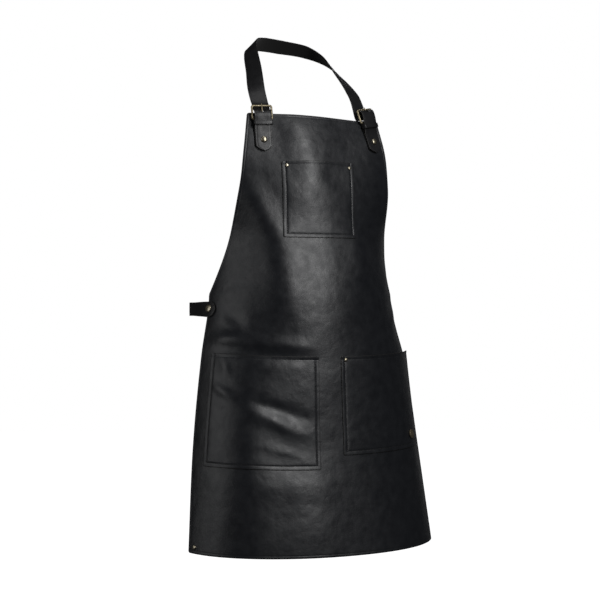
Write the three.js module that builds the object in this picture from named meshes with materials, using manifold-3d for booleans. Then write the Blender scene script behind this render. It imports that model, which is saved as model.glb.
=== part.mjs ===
// Leather bib apron in its worn form, held up by its neck strap.
// Millimetres, +Z up. The front faces -Y and the wearer's right is -X.
// The origin is the middle of the neck strap's inner face at the nape.
import * as THREE from "three";
import { mergeVertices } from "three/addons/utils/BufferGeometryUtils.js";
import Module from "manifold-3d";

const wasm = await Module();
wasm.setup();

// Leather walls and the clearance between pieces
const PANEL_WALL = 1.9;
const POCKET_WALL = 1.6;
const STRAP_WALL = 2.2;
const TAB_WALL = 1.8;
const KEEPER_WALL = 1.2;
const GAP = 0.3;

// Panel cut, measured along the leather: drops run down from the bib's top edge
const PANEL_DROP = 800;
const WAIST_DROP = 332;
const HEM_HALF = 281.5;
const BIB_CUT = [
  { drop: 0, half: 132 },
  { drop: 60, half: 142.5 },
  { drop: 130, half: 153 },
  { drop: 220, half: 177.3 },
  { drop: WAIST_DROP, half: 235.7 },
];

// Worn form, a row for each section: y is where its middle stands, turn is how far its edges wrap
// round the body in degrees, ease keeps the middle flat, lift raises both edges and tilt the right one
const BIB_TOP_Z = -156;
const LIFT_REACH = 200;
const WORN = [
  { drop: 0, y: -179, turn: 11.5, ease: 0.2, lift: -1.5, tilt: 3.7 },
  { drop: 60, y: -192.5, turn: 12.5, ease: 0.21, lift: -2.2, tilt: -0.8 },
  { drop: 130, y: -206, turn: 26, ease: 0.2, lift: -2.4, tilt: -1 },
  { drop: 220, y: -216, turn: 52.7, ease: 0.13, lift: -1.5, tilt: -0.7 },
  { drop: WAIST_DROP, y: -234, turn: 71.2, ease: 0.14, lift: 1.1, tilt: -0.3 },
  { drop: 450, y: -241.5, turn: 68.5, ease: 0.31, lift: 4.9, tilt: 0.2 },
  { drop: 620, y: -252, turn: 66.9, ease: 0.46, lift: 5, tilt: 0 },
  { drop: PANEL_DROP, y: -277, turn: 68.4, ease: 0.57, lift: 3.4, tilt: 0.7 },
];

// Pull of the left waist strap, which turns the panel's edge further round the side near one drop
const WRAP = { turn: 24, share: 0.72, drop: 358, reach: 75 };

// Main folds: middle across and down, direction in degrees below level, length, width and height
const FOLDS = [
  { across: -20, drop: 70, angle: 90, length: 320, width: 45, height: 3.5 },
  { across: 127.6, drop: 30, angle: 77, length: 240, width: 18, height: -4.2 },
  { across: -116, drop: 182, angle: 64, length: 200, width: 22, height: 5 },
  { across: -84, drop: 160, angle: 64, length: 170, width: 22, height: -4 },
  { across: -85, drop: 290, angle: 88, length: 280, width: 40, height: 9 },
  { across: 45, drop: 280, angle: 90, length: 260, width: 35, height: 2.5 },
  { across: -180, drop: 371, angle: 43, length: 100, width: 14, height: -3 },
  { across: -115, drop: 420, angle: 5, length: 250, width: 12, height: 3 },
  { across: -118, drop: 441, angle: 4, length: 250, width: 12, height: -3.5 },
  { across: -103, drop: 537, angle: 17, length: 210, width: 13, height: -3 },
  { across: -104, drop: 560, angle: 25, length: 190, width: 13, height: 2.8 },
  { across: -165, drop: 640, angle: 90, length: 640, width: 70, height: 15 },
  { across: -85, drop: 672, angle: 2, length: 260, width: 26, height: 2.5 },
];

// Pockets: shares are parts of the panel's half width, the gape opens the mouth and its outer corner
const CHEST = { top: 87, height: 140, right: 76, left: 66, mouth: 1.5, corner: 0 };
const HIP_TOP = 443;
const HIP_INNER_SHARE = 0.0874;
const HIP_OUTER_SHARE = 0.8866;
const RIGHT_HIP = { height: 202, mouth: 3, corner: 1 };
const LEFT_HIP = { height: 178, mouth: 3, corner: 5.5 };

// Grid of the leather sheets: columns between centre, pockets' edges and panel's edge, and row pitch
const COLUMN_STEPS = [1, 3, 8, 2];
const ROW_PITCH = 24;
const SECTION_STEPS = 24;
const LEVEL_STEPS = 400;

// Rivets and stud: place on the leather, head diameter and height, and what lies under the head;
// a head's outline is in shares of its radius and height
const SHANK_RADIUS = 1.5;
const WASHER_RADIUS = 3;
const WASHER_HEIGHT = 0.8;
const HOLE_REACH = 40;
const ROUND_SIDES = 12;
const HEAD_OUTLINE = [
  { radius: 1, rise: 0 },
  { radius: 0.96, rise: 0.45 },
  { radius: 0.62, rise: 0.86 },
  { radius: 0, rise: 1 },
];
const RIVETS = [
  { name: "chest_pocket_rivet_right", across: -66.5, drop: 95, head: 7, dome: 1.6, over: POCKET_WALL },
  { name: "chest_pocket_rivet_left", across: 56.5, drop: 97, head: 7, dome: 1.6, over: POCKET_WALL },
  { name: "left_hip_pocket_rivet", across: 31, drop: 449.5, head: 7, dome: 1.6, over: POCKET_WALL },
  { name: "hem_rivet", across: -264.5, drop: 788.5, head: 8, dome: 1.8, over: 0 },
  { name: "pocket_stud", across: 198, drop: 597, head: 17, dome: 3, over: POCKET_WALL },
];
const WAIST_RIVET = { across: 232.5, drop: 359.5, head: 15, dome: 2.6 };

// Buckle tabs: place of the tab's rivet, how far the top leans to the wearer's right and how far the
// face turns to the left in degrees
const TABS = [
  { side: "right", across: -105.5, drop: 48, lean: 1.5, yaw: 0 },
  { side: "left", across: 115, drop: 41.5, lean: 13, yaw: 8 },
];
const TAB_WIDTH = 31.6;
const TAB_POINT_WIDTH = 6;
const TAB_TAIL = -21;
const TAB_SHOULDER = -11;
const TAB_JOIN = 12;
const TAB_SEAT = 0.8;
const FOLD_SEGMENTS = 8;
const TAB_RIVET = { head: 12, dome: 3.2 };
const WIRE_RADIUS = 1.9;
const HEEL_UP = 38;
const TOP_BAR_UP = 63;
const BUCKLE_WIDTH = 40;
const BUCKLE_CORNER = 3;
const CORNER_STEPS = 4;
const WIRE_SIDES = 8;
const PRONG_WIDTH = 2.6;
const PRONG_HEIGHT = 2;
const PRONG_RING = 3.4;
const PRONG_EYE_SEGMENTS = 10;
const PRONG_ROOT_OUT = 1;
const PRONG_TIP_UP = 66.5;
const KEEPER_UP = 26;
const KEEPER_HEIGHT = 8;
const STRAP_END_UP = 27.5;

// Hump of the strap between each buckle's bars, up and outwards on its tab, where its prong comes
// through, and how the strap leans back above the top bar
const STRAP_EASE = 0.1;
const STRAP_HUMPS = {
  right: [
    { up: 38.5, out: 10.9 },
    { up: 43, out: 11.9 },
    { up: 47.5, out: 11.9 },
    { up: 51.3, out: 10.2 },
    { up: 54, out: 7 },
    { up: 56.2, out: 4 },
    { up: 59.2, out: 1.8 },
  ],
  left: [
    { up: 38.5, out: 10.9 },
    { up: 43, out: 12.2 },
    { up: 48, out: 12.6 },
    { up: 53, out: 11.8 },
    { up: 57, out: 8.6 },
    { up: 59.3, out: 5 },
    { up: 60.5, out: 1.8 },
  ],
};
const PRONG_SLOTS = { right: { low: 49.8, high: 57 }, left: { low: 53.8, high: 60.3 } };
const PRONG_SLOT_DEPTH = 20;
const STRAP_BEHIND = 0.6;
const STRAP_LEAVE = { up: 8, back: 6 };

// Neck strap, a row for each place between the buckles: yaw turns its outer face from front (0) round
// the wearer's right (90) to the back (180), and lean tips that face upwards
const NECK_WIDTH = 31.5;
const NECK_STEPS = 4;
const BUCKLE_STEPS = 2;
const NECK = [
  { x: -104.5, y: -146, z: -110, yaw: 17, lean: 24 },
  { x: -93, y: -102, z: -67, yaw: 48, lean: 35 },
  { x: -77, y: -44, z: -9, yaw: 87, lean: 37 },
  { x: -46, y: -13, z: 1, yaw: 133, lean: 40 },
  { x: 0, y: 0.78, z: 0.78, yaw: 181, lean: 45 },
  { x: 47, y: -18, z: -9, yaw: 231, lean: 45 },
  { x: 73.5, y: -48, z: -29.5, yaw: 280, lean: 42 },
  { x: 86, y: -89, z: -64, yaw: 318, lean: 37 },
  { x: 97.5, y: -131, z: -100, yaw: 340, lean: 24 },
];

// Waist straps: they leave the panel below its waist corners and meet in a clasp behind the body
const WAIST_STRAP_DROP = 361;
const WAIST_START = 217;
const WAIST_WIDTH = 30;
const WAIST_NARROW = 25;
const WAIST_TAPER = 70;
const WAIST_SEAT = 1.6;
const WAIST_END_INSETS = [0.5, 2.5, 6, 10, 15];
const SIDE_HEADING = 111;
const BACK_RADIUS = 85;
const BACK_HEADING = 180;
const BACK_Y = 39.4;
const WAIST_STEP = 9;
const CLASP = { half: 22, wall: 1.5, strapEnd: 8 };

// Finish of each material, and the distance within which corners are shared
const BLACK_LEATHER = 0x17181a;
const STRAP_LEATHER = 0x1a1a1b;
const ANTIQUE_BRASS = 0x9a7d4c;
const DULL_BRONZE = 0x6b5a42;
const LEATHER_ROUGHNESS = 0.48;
const BRASS_ROUGHNESS = 0.4;
const WELD = 1e-3;

const radians = THREE.MathUtils.degToRad;

function leatherMaterial(color) {
  return new THREE.MeshStandardMaterial({ color, roughness: LEATHER_ROUGHNESS, metalness: 0 });
}

function brassMaterial(color) {
  return new THREE.MeshStandardMaterial({ color, roughness: BRASS_ROUGHNESS, metalness: 1 });
}

// Smooth curve through a table's column, read at a drop
function smooth(rows, column, drop) {
  const last = rows.length - 1;
  const at = THREE.MathUtils.clamp(drop, rows[0].drop, rows[last].drop);
  const span = (i) => rows[i + 1].drop - rows[i].drop;
  const secant = (i) => (rows[i + 1][column] - rows[i][column]) / span(i);
  const slope = (i) => {
    if (i === 0) return secant(0);
    if (i === last) return secant(last - 1);
    return (secant(i - 1) * span(i) + secant(i) * span(i - 1)) / (span(i) + span(i - 1));
  };
  let i = 0;
  while (i < last - 1 && at > rows[i + 1].drop) i += 1;
  const k = (at - rows[i].drop) / span(i);
  const start = (2 * k ** 3 - 3 * k ** 2 + 1) * rows[i][column];
  const end = (3 * k ** 2 - 2 * k ** 3) * rows[i + 1][column];
  const leave = (k ** 3 - 2 * k ** 2 + k) * span(i) * slope(i);
  const arrive = (k ** 3 - k ** 2) * span(i) * slope(i + 1);
  return start + end + leave + arrive;
}

// Half of the panel's cut width at a drop: a curved bib and a straight flaring skirt
function halfWidth(drop) {
  if (drop < WAIST_DROP) return smooth(BIB_CUT, "half", drop);
  const waistHalf = BIB_CUT[BIB_CUT.length - 1].half;
  return waistHalf + ((HEM_HALF - waistHalf) * (drop - WAIST_DROP)) / (PANEL_DROP - WAIST_DROP);
}

// Heights of the panel's middle line, which keeps its length as it leans
const LEVELS = [BIB_TOP_Z];
for (let i = 1; i <= LEVEL_STEPS; i += 1) {
  const step = PANEL_DROP / LEVEL_STEPS;
  const lean = smooth(WORN, "y", i * step) - smooth(WORN, "y", (i - 1) * step);
  LEVELS.push(LEVELS[i - 1] - Math.sqrt(step ** 2 - lean ** 2));
}

function level(drop) {
  const place = (THREE.MathUtils.clamp(drop, 0, PANEL_DROP) / PANEL_DROP) * LEVEL_STEPS;
  const i = Math.min(Math.floor(place), LEVEL_STEPS - 1);
  return THREE.MathUtils.lerp(LEVELS[i], LEVELS[i + 1], place - i);
}

// Smooth outer face of the worn panel, without folds
function wornPoint(across, drop) {
  const reach = Math.abs(across);
  const half = halfWidth(drop);
  const turn = radians(smooth(WORN, "turn", drop));
  const ease = smooth(WORN, "ease", drop);
  const step = reach / SECTION_STEPS;
  const pulled = across > 0 ? Math.exp(-(((drop - WRAP.drop) / WRAP.reach) ** 2)) : 0;
  const wrap = (radians(WRAP.turn) / (1 - WRAP.share)) * pulled;
  let x = 0;
  let y = smooth(WORN, "y", drop);
  for (let i = 0; i < SECTION_STEPS; i += 1) {
    const share = ((i + 0.5) * step) / half;
    const even = turn * ((1 - ease) * share + ease * share ** 3);
    const angle = even + wrap * Math.max(share - WRAP.share, 0);
    x += Math.cos(angle) * step;
    y += Math.sin(angle) * step;
  }
  const lift = smooth(WORN, "lift", drop) * (reach / LIFT_REACH) ** 2;
  const tilt = (smooth(WORN, "tilt", drop) * across) / half;
  return new THREE.Vector3(Math.sign(across) * x, y, level(drop) + lift - tilt);
}

function wornNormal(across, drop) {
  const above = wornPoint(across, Math.max(drop - 1, 0));
  const below = wornPoint(across, Math.min(drop + 1, PANEL_DROP));
  const right = wornPoint(across - 1, drop);
  const left = wornPoint(across + 1, drop);
  return below.sub(above).cross(left.sub(right)).normalize();
}

// Height of the folds over the smooth form
function foldHeight(across, drop) {
  let height = 0;
  for (const fold of FOLDS) {
    const angle = radians(fold.angle);
    const da = across - fold.across;
    const dd = drop - fold.drop;
    const along = (da * Math.cos(angle) + dd * Math.sin(angle)) / fold.length;
    const beside = (dd * Math.cos(angle) - da * Math.sin(angle)) / fold.width;
    if (Math.abs(along) < 0.5) {
      height += fold.height * Math.cos(Math.PI * along) ** 2 * Math.exp(-(beside ** 2));
    }
  }
  return height;
}

// Point at a distance out from the panel's outer face
function leatherPoint(across, drop, out) {
  const rise = foldHeight(across, drop) + out;
  return wornPoint(across, drop).addScaledVector(wornNormal(across, drop), rise);
}

// Grid lines that the panel and the pockets share
const ROW_STOPS = [
  0,
  CHEST.top,
  CHEST.top + CHEST.height,
  WAIST_DROP,
  HIP_TOP,
  HIP_TOP + LEFT_HIP.height,
  HIP_TOP + RIGHT_HIP.height,
  PANEL_DROP,
];
const ROWS = [0];
for (let k = 1; k < ROW_STOPS.length; k += 1) {
  const steps = Math.ceil((ROW_STOPS[k] - ROW_STOPS[k - 1]) / ROW_PITCH);
  for (let i = 1; i <= steps; i += 1) {
    ROWS.push(THREE.MathUtils.lerp(ROW_STOPS[k - 1], ROW_STOPS[k], i / steps));
  }
}

function sideColumns(drop, chestEdge) {
  const half = halfWidth(drop);
  const stops = [0, HIP_INNER_SHARE * half, chestEdge, HIP_OUTER_SHARE * half, half];
  const columns = [0];
  COLUMN_STEPS.forEach((steps, k) => {
    for (let i = 1; i <= steps; i += 1) {
      columns.push(THREE.MathUtils.lerp(stops[k], stops[k + 1], i / steps));
    }
  });
  return columns;
}

function columnsAt(drop) {
  const rightSide = sideColumns(drop, CHEST.right).slice(1).reverse();
  return [...rightSide.map((across) => -across), ...sideColumns(drop, CHEST.left)];
}

const CENTRE = COLUMN_STEPS.reduce((sum, steps) => sum + steps);
const HIP_INNER_COLUMN = COLUMN_STEPS[0];
const CHEST_COLUMN = COLUMN_STEPS[0] + COLUMN_STEPS[1];
const HIP_OUTER_COLUMN = CENTRE - COLUMN_STEPS[3];
const rowIndex = (drop) => ROWS.findIndex((row) => Math.abs(row - drop) < 1e-6);

// Closed sheet from a grid of outer points and the matching grid of inner points
function sheetGeometry(outer, inner) {
  const rows = outer.length;
  const columns = outer[0].length;
  const points = [...outer.flat(), ...inner.flat()];
  const front = (i, j) => i * columns + j;
  const back = (k) => k + rows * columns;
  const faces = [];
  for (let i = 0; i + 1 < rows; i += 1) {
    for (let j = 0; j + 1 < columns; j += 1) {
      const [a, b, c, d] = [front(i, j), front(i, j + 1), front(i + 1, j), front(i + 1, j + 1)];
      faces.push(a, c, d, a, d, b);
      faces.push(back(a), back(d), back(c), back(a), back(b), back(d));
    }
  }
  const rim = [];
  for (let i = 0; i < rows - 1; i += 1) rim.push(front(i, 0));
  for (let j = 0; j < columns - 1; j += 1) rim.push(front(rows - 1, j));
  for (let i = rows - 1; i > 0; i -= 1) rim.push(front(i, columns - 1));
  for (let j = columns - 1; j > 0; j -= 1) rim.push(front(0, j));
  rim.forEach((p, k) => {
    const q = rim[(k + 1) % rim.length];
    faces.push(q, p, back(p), q, back(p), back(q));
  });
  const geometry = new THREE.BufferGeometry().setFromPoints(points);
  geometry.setIndex(faces);
  return geometry;
}

// Closed bar swept through frames, each with a centre and the two axes of its section
function sweepGeometry(frames, sections, closed = false) {
  const count = sections[0].length;
  const points = [];
  frames.forEach((frame, i) => {
    for (const [a, b] of sections[i % sections.length]) {
      points.push(frame.centre.clone().addScaledVector(frame.a, a).addScaledVector(frame.b, b));
    }
  });
  const faces = [];
  const rings = closed ? frames.length : frames.length - 1;
  for (let i = 0; i < rings; i += 1) {
    const here = i * count;
    const next = ((i + 1) % frames.length) * count;
    for (let k = 0; k < count; k += 1) {
      const m = (k + 1) % count;
      faces.push(here + k, here + m, next + m, here + k, next + m, next + k);
    }
  }
  if (!closed) {
    const end = (frames.length - 1) * count;
    for (let k = 1; k + 1 < count; k += 1) {
      faces.push(0, k + 1, k);
      faces.push(end, end + k, end + k + 1);
    }
  }
  const geometry = new THREE.BufferGeometry().setFromPoints(points);
  geometry.setIndex(faces);
  return geometry;
}

const rectangle = (a, b) => [[a, b], [-a, b], [-a, -b], [a, -b]];

function circle(radius, sides) {
  const angles = Array.from({ length: sides }, (_, k) => (2 * Math.PI * k) / sides);
  return angles.map((angle) => [radius * Math.cos(angle), radius * Math.sin(angle)]);
}

// Position-only geometry with shared vertices
function welded(geometry) {
  const bare = geometry.clone();
  bare.deleteAttribute("normal");
  bare.deleteAttribute("uv");
  return mergeVertices(bare, WELD);
}

function toSolid(geometry) {
  const bare = welded(geometry);
  const vertProperties = new Float32Array(bare.attributes.position.array);
  const triVerts = new Uint32Array(bare.index.array);
  return new wasm.Manifold(new wasm.Mesh({ numProp: 3, vertProperties, triVerts }));
}

function fromSolid(solid) {
  const mesh = solid.getMesh();
  const geometry = new THREE.BufferGeometry();
  geometry.setAttribute("position", new THREE.BufferAttribute(mesh.vertProperties, 3));
  geometry.setIndex(new THREE.BufferAttribute(mesh.triVerts, 1));
  return geometry;
}

function cutAway(geometry, cutters) {
  const whole = toSolid(geometry);
  return fromSolid(cutters.reduce((solid, cutter) => solid.subtract(toSolid(cutter)), whole));
}

const apron = new THREE.Group();

function addMesh(parent, name, geometry, material) {
  const mesh = new THREE.Mesh(welded(geometry), material);
  mesh.name = name;
  parent.add(mesh);
  return mesh;
}

// Frame that stands on the leather: local X across, Y up the leather and Z outwards
function leatherFrame(across, drop, lean = 0, yaw = 0) {
  const z = wornNormal(across, drop);
  const x = wornPoint(across + 1, drop).sub(wornPoint(across - 1, drop));
  x.addScaledVector(z, -x.dot(z)).normalize().applyAxisAngle(z, radians(lean));
  const y = new THREE.Vector3().crossVectors(z, x);
  z.applyAxisAngle(y, radians(yaw));
  x.crossVectors(y, z);
  return new THREE.Matrix4().makeBasis(x, y, z).setPosition(leatherPoint(across, drop, 0));
}

// Rivet on the local Z axis: domed head above its seat, shank through the leather, washer behind
function rivetGeometry(head, dome, seat) {
  const radius = head / 2;
  const back = -PANEL_WALL - 2 * GAP;
  const profile = [
    [0, back - WASHER_HEIGHT],
    [WASHER_RADIUS, back - WASHER_HEIGHT],
    [WASHER_RADIUS, back],
    [SHANK_RADIUS, back],
    [SHANK_RADIUS, seat],
    ...HEAD_OUTLINE.map((row) => [radius * row.radius, seat + dome * row.rise]),
  ];
  const points = profile.map(([r, z]) => new THREE.Vector2(r, z));
  return new THREE.LatheGeometry(points, ROUND_SIDES).rotateX(Math.PI / 2);
}

function rivetHole(matrix) {
  const radius = SHANK_RADIUS + GAP;
  const hole = new THREE.CylinderGeometry(radius, radius, HOLE_REACH, ROUND_SIDES);
  return hole.rotateX(Math.PI / 2).applyMatrix4(matrix);
}

function addRivet(name, matrix, head, dome, seat, color) {
  const mesh = addMesh(apron, name, rivetGeometry(head, dome, seat), brassMaterial(color));
  matrix.decompose(mesh.position, mesh.quaternion, mesh.scale);
}

// Pocket sewn on the panel along its sides and bottom, with an open mouth
function pocketGeometry(shape, top, [firstColumn, lastColumn], outerSide) {
  const first = rowIndex(top);
  const last = rowIndex(top + shape.height);
  const outer = [];
  const inner = [];
  for (let i = first; i <= last; i += 1) {
    const columns = columnsAt(ROWS[i]);
    const up = 1 - (i - first) / (last - first);
    const outerRow = [];
    const innerRow = [];
    for (let j = firstColumn; j <= lastColumn; j += 1) {
      const share = (j - firstColumn) / (lastColumn - firstColumn);
      const outward = outerSide < 0 ? 1 - share : share;
      const mouth = shape.mouth * Math.sin(Math.PI * share) ** 2 * up ** 2;
      const corner = shape.corner * outward ** 4 * up ** 4;
      const seat = GAP + mouth + corner;
      innerRow.push(leatherPoint(columns[j], ROWS[i], seat));
      outerRow.push(leatherPoint(columns[j], ROWS[i], seat + POCKET_WALL));
    }
    outer.push(outerRow);
    inner.push(innerRow);
  }
  return sheetGeometry(outer, inner);
}

const RIGHT = -1;
const LEFT = 1;
const rivetPlaces = RIVETS.map((rivet) => ({
  ...rivet,
  matrix: leatherFrame(rivet.across, rivet.drop),
}));
const waistPlaces = [RIGHT, LEFT].map((side) => {
  return leatherFrame(side * WAIST_RIVET.across, WAIST_RIVET.drop);
});
const tabPlaces = TABS.map((tab) => leatherFrame(tab.across, tab.drop, tab.lean, tab.yaw));
const holeThrough = (name) => rivetHole(rivetPlaces.find((rivet) => rivet.name === name).matrix);

// Apron panel
function panelSide(out) {
  return ROWS.map((drop) => columnsAt(drop).map((across) => leatherPoint(across, drop, out)));
}

const rivetMatrices = rivetPlaces.map((rivet) => rivet.matrix);
const panelHoles = [...rivetMatrices, ...waistPlaces, ...tabPlaces].map(rivetHole);
const panelSheet = sheetGeometry(panelSide(0), panelSide(-PANEL_WALL));
addMesh(apron, "apron_panel", cutAway(panelSheet, panelHoles), leatherMaterial(BLACK_LEATHER));

// Chest pocket
const chestColumns = [CENTRE - CHEST_COLUMN, CENTRE + CHEST_COLUMN];
const chestSheet = pocketGeometry(CHEST, CHEST.top, chestColumns, LEFT);
const chestHoles = ["chest_pocket_rivet_right", "chest_pocket_rivet_left"].map(holeThrough);
addMesh(apron, "chest_pocket", cutAway(chestSheet, chestHoles), leatherMaterial(BLACK_LEATHER));

// Hip pockets
const rightColumns = [CENTRE - HIP_OUTER_COLUMN, CENTRE - HIP_INNER_COLUMN];
const rightSheet = pocketGeometry(RIGHT_HIP, HIP_TOP, rightColumns, RIGHT);
addMesh(apron, "right_hip_pocket", rightSheet, leatherMaterial(BLACK_LEATHER));
const leftColumns = [CENTRE + HIP_INNER_COLUMN, CENTRE + HIP_OUTER_COLUMN];
const leftSheet = pocketGeometry(LEFT_HIP, HIP_TOP, leftColumns, LEFT);
const leftHoles = ["left_hip_pocket_rivet", "pocket_stud"].map(holeThrough);
addMesh(apron, "left_hip_pocket", cutAway(leftSheet, leftHoles), leatherMaterial(BLACK_LEATHER));

// Rivets on the panel and pockets, and the plain stud
for (const rivet of rivetPlaces) {
  const layers = rivet.over > 0 ? GAP + rivet.over : 0;
  const color = rivet.name === "pocket_stud" ? DULL_BRONZE : ANTIQUE_BRASS;
  addRivet(rivet.name, rivet.matrix, rivet.head, rivet.dome, layers + 2 * GAP, color);
}

// Sizes of a buckle tab outwards from the panel: the tab folds round the buckle's heel bar
const FOLD_INNER = WIRE_RADIUS + GAP;
const FOLD_OUTER = FOLD_INNER + TAB_WALL;
const BUCKLE_OUT = TAB_SEAT + FOLD_OUTER;
const TAB_FLAT_OUT = TAB_SEAT + 2 * TAB_WALL + GAP;
const TAB_SLOPE = (BUCKLE_OUT + FOLD_OUTER - TAB_FLAT_OUT) / (HEEL_UP - TAB_JOIN);
const tabFront = (up) => BUCKLE_OUT + FOLD_OUTER - TAB_SLOPE * (HEEL_UP - up);

// Turns an outline drawn up and outwards, extruded across, into the tab's frame
const ACROSS = new THREE.Matrix4().makeBasis(
  new THREE.Vector3(0, 1, 0),
  new THREE.Vector3(0, 0, 1),
  new THREE.Vector3(1, 0, 0),
);

function extrudeAcross(shape, width, curveSegments) {
  const options = { depth: width, bevelEnabled: false, curveSegments };
  const geometry = new THREE.ExtrudeGeometry(shape, options);
  return geometry.translate(0, 0, -width / 2).applyMatrix4(ACROSS);
}

function tabGeometry() {
  const quarter = Math.PI / 2;
  const profile = new THREE.Shape();
  profile.moveTo(TAB_TAIL, TAB_SEAT);
  profile.lineTo(HEEL_UP, TAB_SEAT);
  profile.absarc(HEEL_UP, BUCKLE_OUT, FOLD_OUTER, -quarter, quarter, false);
  profile.lineTo(TAB_JOIN, TAB_FLAT_OUT);
  profile.lineTo(TAB_TAIL, TAB_FLAT_OUT);
  profile.lineTo(TAB_TAIL, TAB_FLAT_OUT - TAB_WALL);
  profile.lineTo(TAB_JOIN, TAB_FLAT_OUT - TAB_WALL);
  profile.lineTo(HEEL_UP, BUCKLE_OUT + FOLD_INNER);
  profile.absarc(HEEL_UP, BUCKLE_OUT, FOLD_INNER, quarter, -quarter, true);
  profile.lineTo(TAB_TAIL, TAB_SEAT + TAB_WALL);
  const strip = extrudeAcross(profile, TAB_WIDTH, FOLD_SEGMENTS);
  const half = TAB_WIDTH / 2;
  const point = TAB_POINT_WIDTH / 2;
  const top = HEEL_UP + 2 * FOLD_OUTER;
  const outline = new THREE.Shape();
  outline.moveTo(-half, top);
  outline.lineTo(-half, TAB_SHOULDER);
  outline.lineTo(-point, TAB_TAIL);
  outline.lineTo(point, TAB_TAIL);
  outline.lineTo(half, TAB_SHOULDER);
  outline.lineTo(half, top);
  const blank = new THREE.ExtrudeGeometry(outline, { depth: 3 * FOLD_OUTER, bevelEnabled: false });
  const pointed = fromSolid(toSolid(strip).intersect(toSolid(blank)));
  const slotLow = HEEL_UP - PRONG_RING - 2 * GAP;
  const slot = new THREE.BoxGeometry(PRONG_WIDTH + 4 * GAP, top - slotLow, 4 * FOLD_OUTER);
  slot.translate(0, (slotLow + top) / 2, BUCKLE_OUT);
  return cutAway(pointed, [slot, rivetHole(new THREE.Matrix4())]);
}

function keeperGeometry() {
  const half = TAB_WIDTH / 2 + GAP;
  const low = TAB_SEAT + TAB_WALL + GAP;
  const high = tabFront(KEEPER_UP + KEEPER_HEIGHT) + STRAP_WALL + 3 * GAP + KEEPER_WALL;
  const ring = new THREE.Shape();
  ring.moveTo(-half - KEEPER_WALL, low);
  ring.lineTo(half + KEEPER_WALL, low);
  ring.lineTo(half + KEEPER_WALL, high);
  ring.lineTo(-half - KEEPER_WALL, high);
  const bore = new THREE.Path();
  bore.moveTo(-half, low + KEEPER_WALL);
  bore.lineTo(-half, high - KEEPER_WALL);
  bore.lineTo(half, high - KEEPER_WALL);
  bore.lineTo(half, low + KEEPER_WALL);
  ring.holes.push(bore);
  const geometry = new THREE.ExtrudeGeometry(ring, { depth: KEEPER_HEIGHT, bevelEnabled: false });
  return geometry.rotateX(Math.PI / 2).translate(0, KEEPER_UP + KEEPER_HEIGHT, 0);
}

// Rounded rectangular wire frame whose lower bar is the heel bar
function buckleGeometry() {
  const halfAcross = BUCKLE_WIDTH / 2 - WIRE_RADIUS - BUCKLE_CORNER;
  const halfHeight = (TOP_BAR_UP - HEEL_UP) / 2 - BUCKLE_CORNER;
  const middle = (TOP_BAR_UP + HEEL_UP) / 2;
  const forward = new THREE.Vector3(0, 0, 1);
  const frames = [];
  for (let corner = 0; corner < 4; corner += 1) {
    const across = corner === 0 || corner === 3 ? halfAcross : -halfAcross;
    const up = corner < 2 ? middle + halfHeight : middle - halfHeight;
    for (let i = 0; i <= CORNER_STEPS; i += 1) {
      const angle = (corner + i / CORNER_STEPS) * (Math.PI / 2);
      const out = new THREE.Vector3(Math.cos(angle), Math.sin(angle), 0);
      const centre = new THREE.Vector3(across, up, BUCKLE_OUT).addScaledVector(out, BUCKLE_CORNER);
      frames.push({ centre, a: forward, b: out });
    }
  }
  return sweepGeometry(frames, [circle(WIRE_RADIUS, WIRE_SIDES)], true);
}

// Tongue of the buckle: an eye round the heel bar and a straight bar that rests on the top bar
function prongGeometry() {
  const eye = new THREE.Shape().absarc(HEEL_UP, BUCKLE_OUT, PRONG_RING, 0, 2 * Math.PI, false);
  eye.holes.push(new THREE.Path().absarc(HEEL_UP, BUCKLE_OUT, FOLD_INNER, 0, 2 * Math.PI, true));
  const eyeSolid = toSolid(extrudeAcross(eye, PRONG_WIDTH, PRONG_EYE_SEGMENTS));
  const rest = BUCKLE_OUT + WIRE_RADIUS + GAP + PRONG_HEIGHT / 2;
  const root = new THREE.Vector3(0, HEEL_UP + FOLD_INNER + GAP, BUCKLE_OUT + PRONG_ROOT_OUT);
  const overBar = new THREE.Vector3(0, TOP_BAR_UP, rest);
  const direction = overBar.clone().sub(root).normalize();
  const tip = root.clone().addScaledVector(direction, (PRONG_TIP_UP - root.y) / direction.y);
  const across = new THREE.Vector3(1, 0, 0);
  const upright = new THREE.Vector3().crossVectors(across, direction);
  const frames = [root, tip].map((centre) => ({ centre, a: upright, b: across }));
  const bar = sweepGeometry(frames, [rectangle(PRONG_HEIGHT / 2, PRONG_WIDTH / 2)]);
  return fromSolid(eyeSolid.add(toSolid(bar)));
}

// Buckle tabs with their keepers, buckles, prongs and rivets
TABS.forEach((tab, k) => {
  const group = new THREE.Group();
  tabPlaces[k].decompose(group.position, group.quaternion, group.scale);
  apron.add(group);
  addMesh(group, `${tab.side}_buckle_tab`, tabGeometry(), leatherMaterial(STRAP_LEATHER));
  addMesh(group, `${tab.side}_keeper`, keeperGeometry(), leatherMaterial(STRAP_LEATHER));
  addMesh(group, `${tab.side}_buckle`, buckleGeometry(), brassMaterial(ANTIQUE_BRASS));
  addMesh(group, `${tab.side}_prong`, prongGeometry(), brassMaterial(ANTIQUE_BRASS));
  const rivet = rivetGeometry(TAB_RIVET.head, TAB_RIVET.dome, TAB_FLAT_OUT + GAP);
  addMesh(group, `${tab.side}_tab_rivet`, rivet, brassMaterial(ANTIQUE_BRASS));
});

// Frames of a flat strap along its stations: the face is the strap's outer normal
function strapFrames(points, faces, tangents) {
  return points.map((centre, i) => {
    const slant = faces[i].dot(tangents[i]);
    const face = faces[i].clone().addScaledVector(tangents[i], -slant).normalize();
    return { centre, a: new THREE.Vector3().crossVectors(face, tangents[i]), b: face };
  });
}

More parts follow.
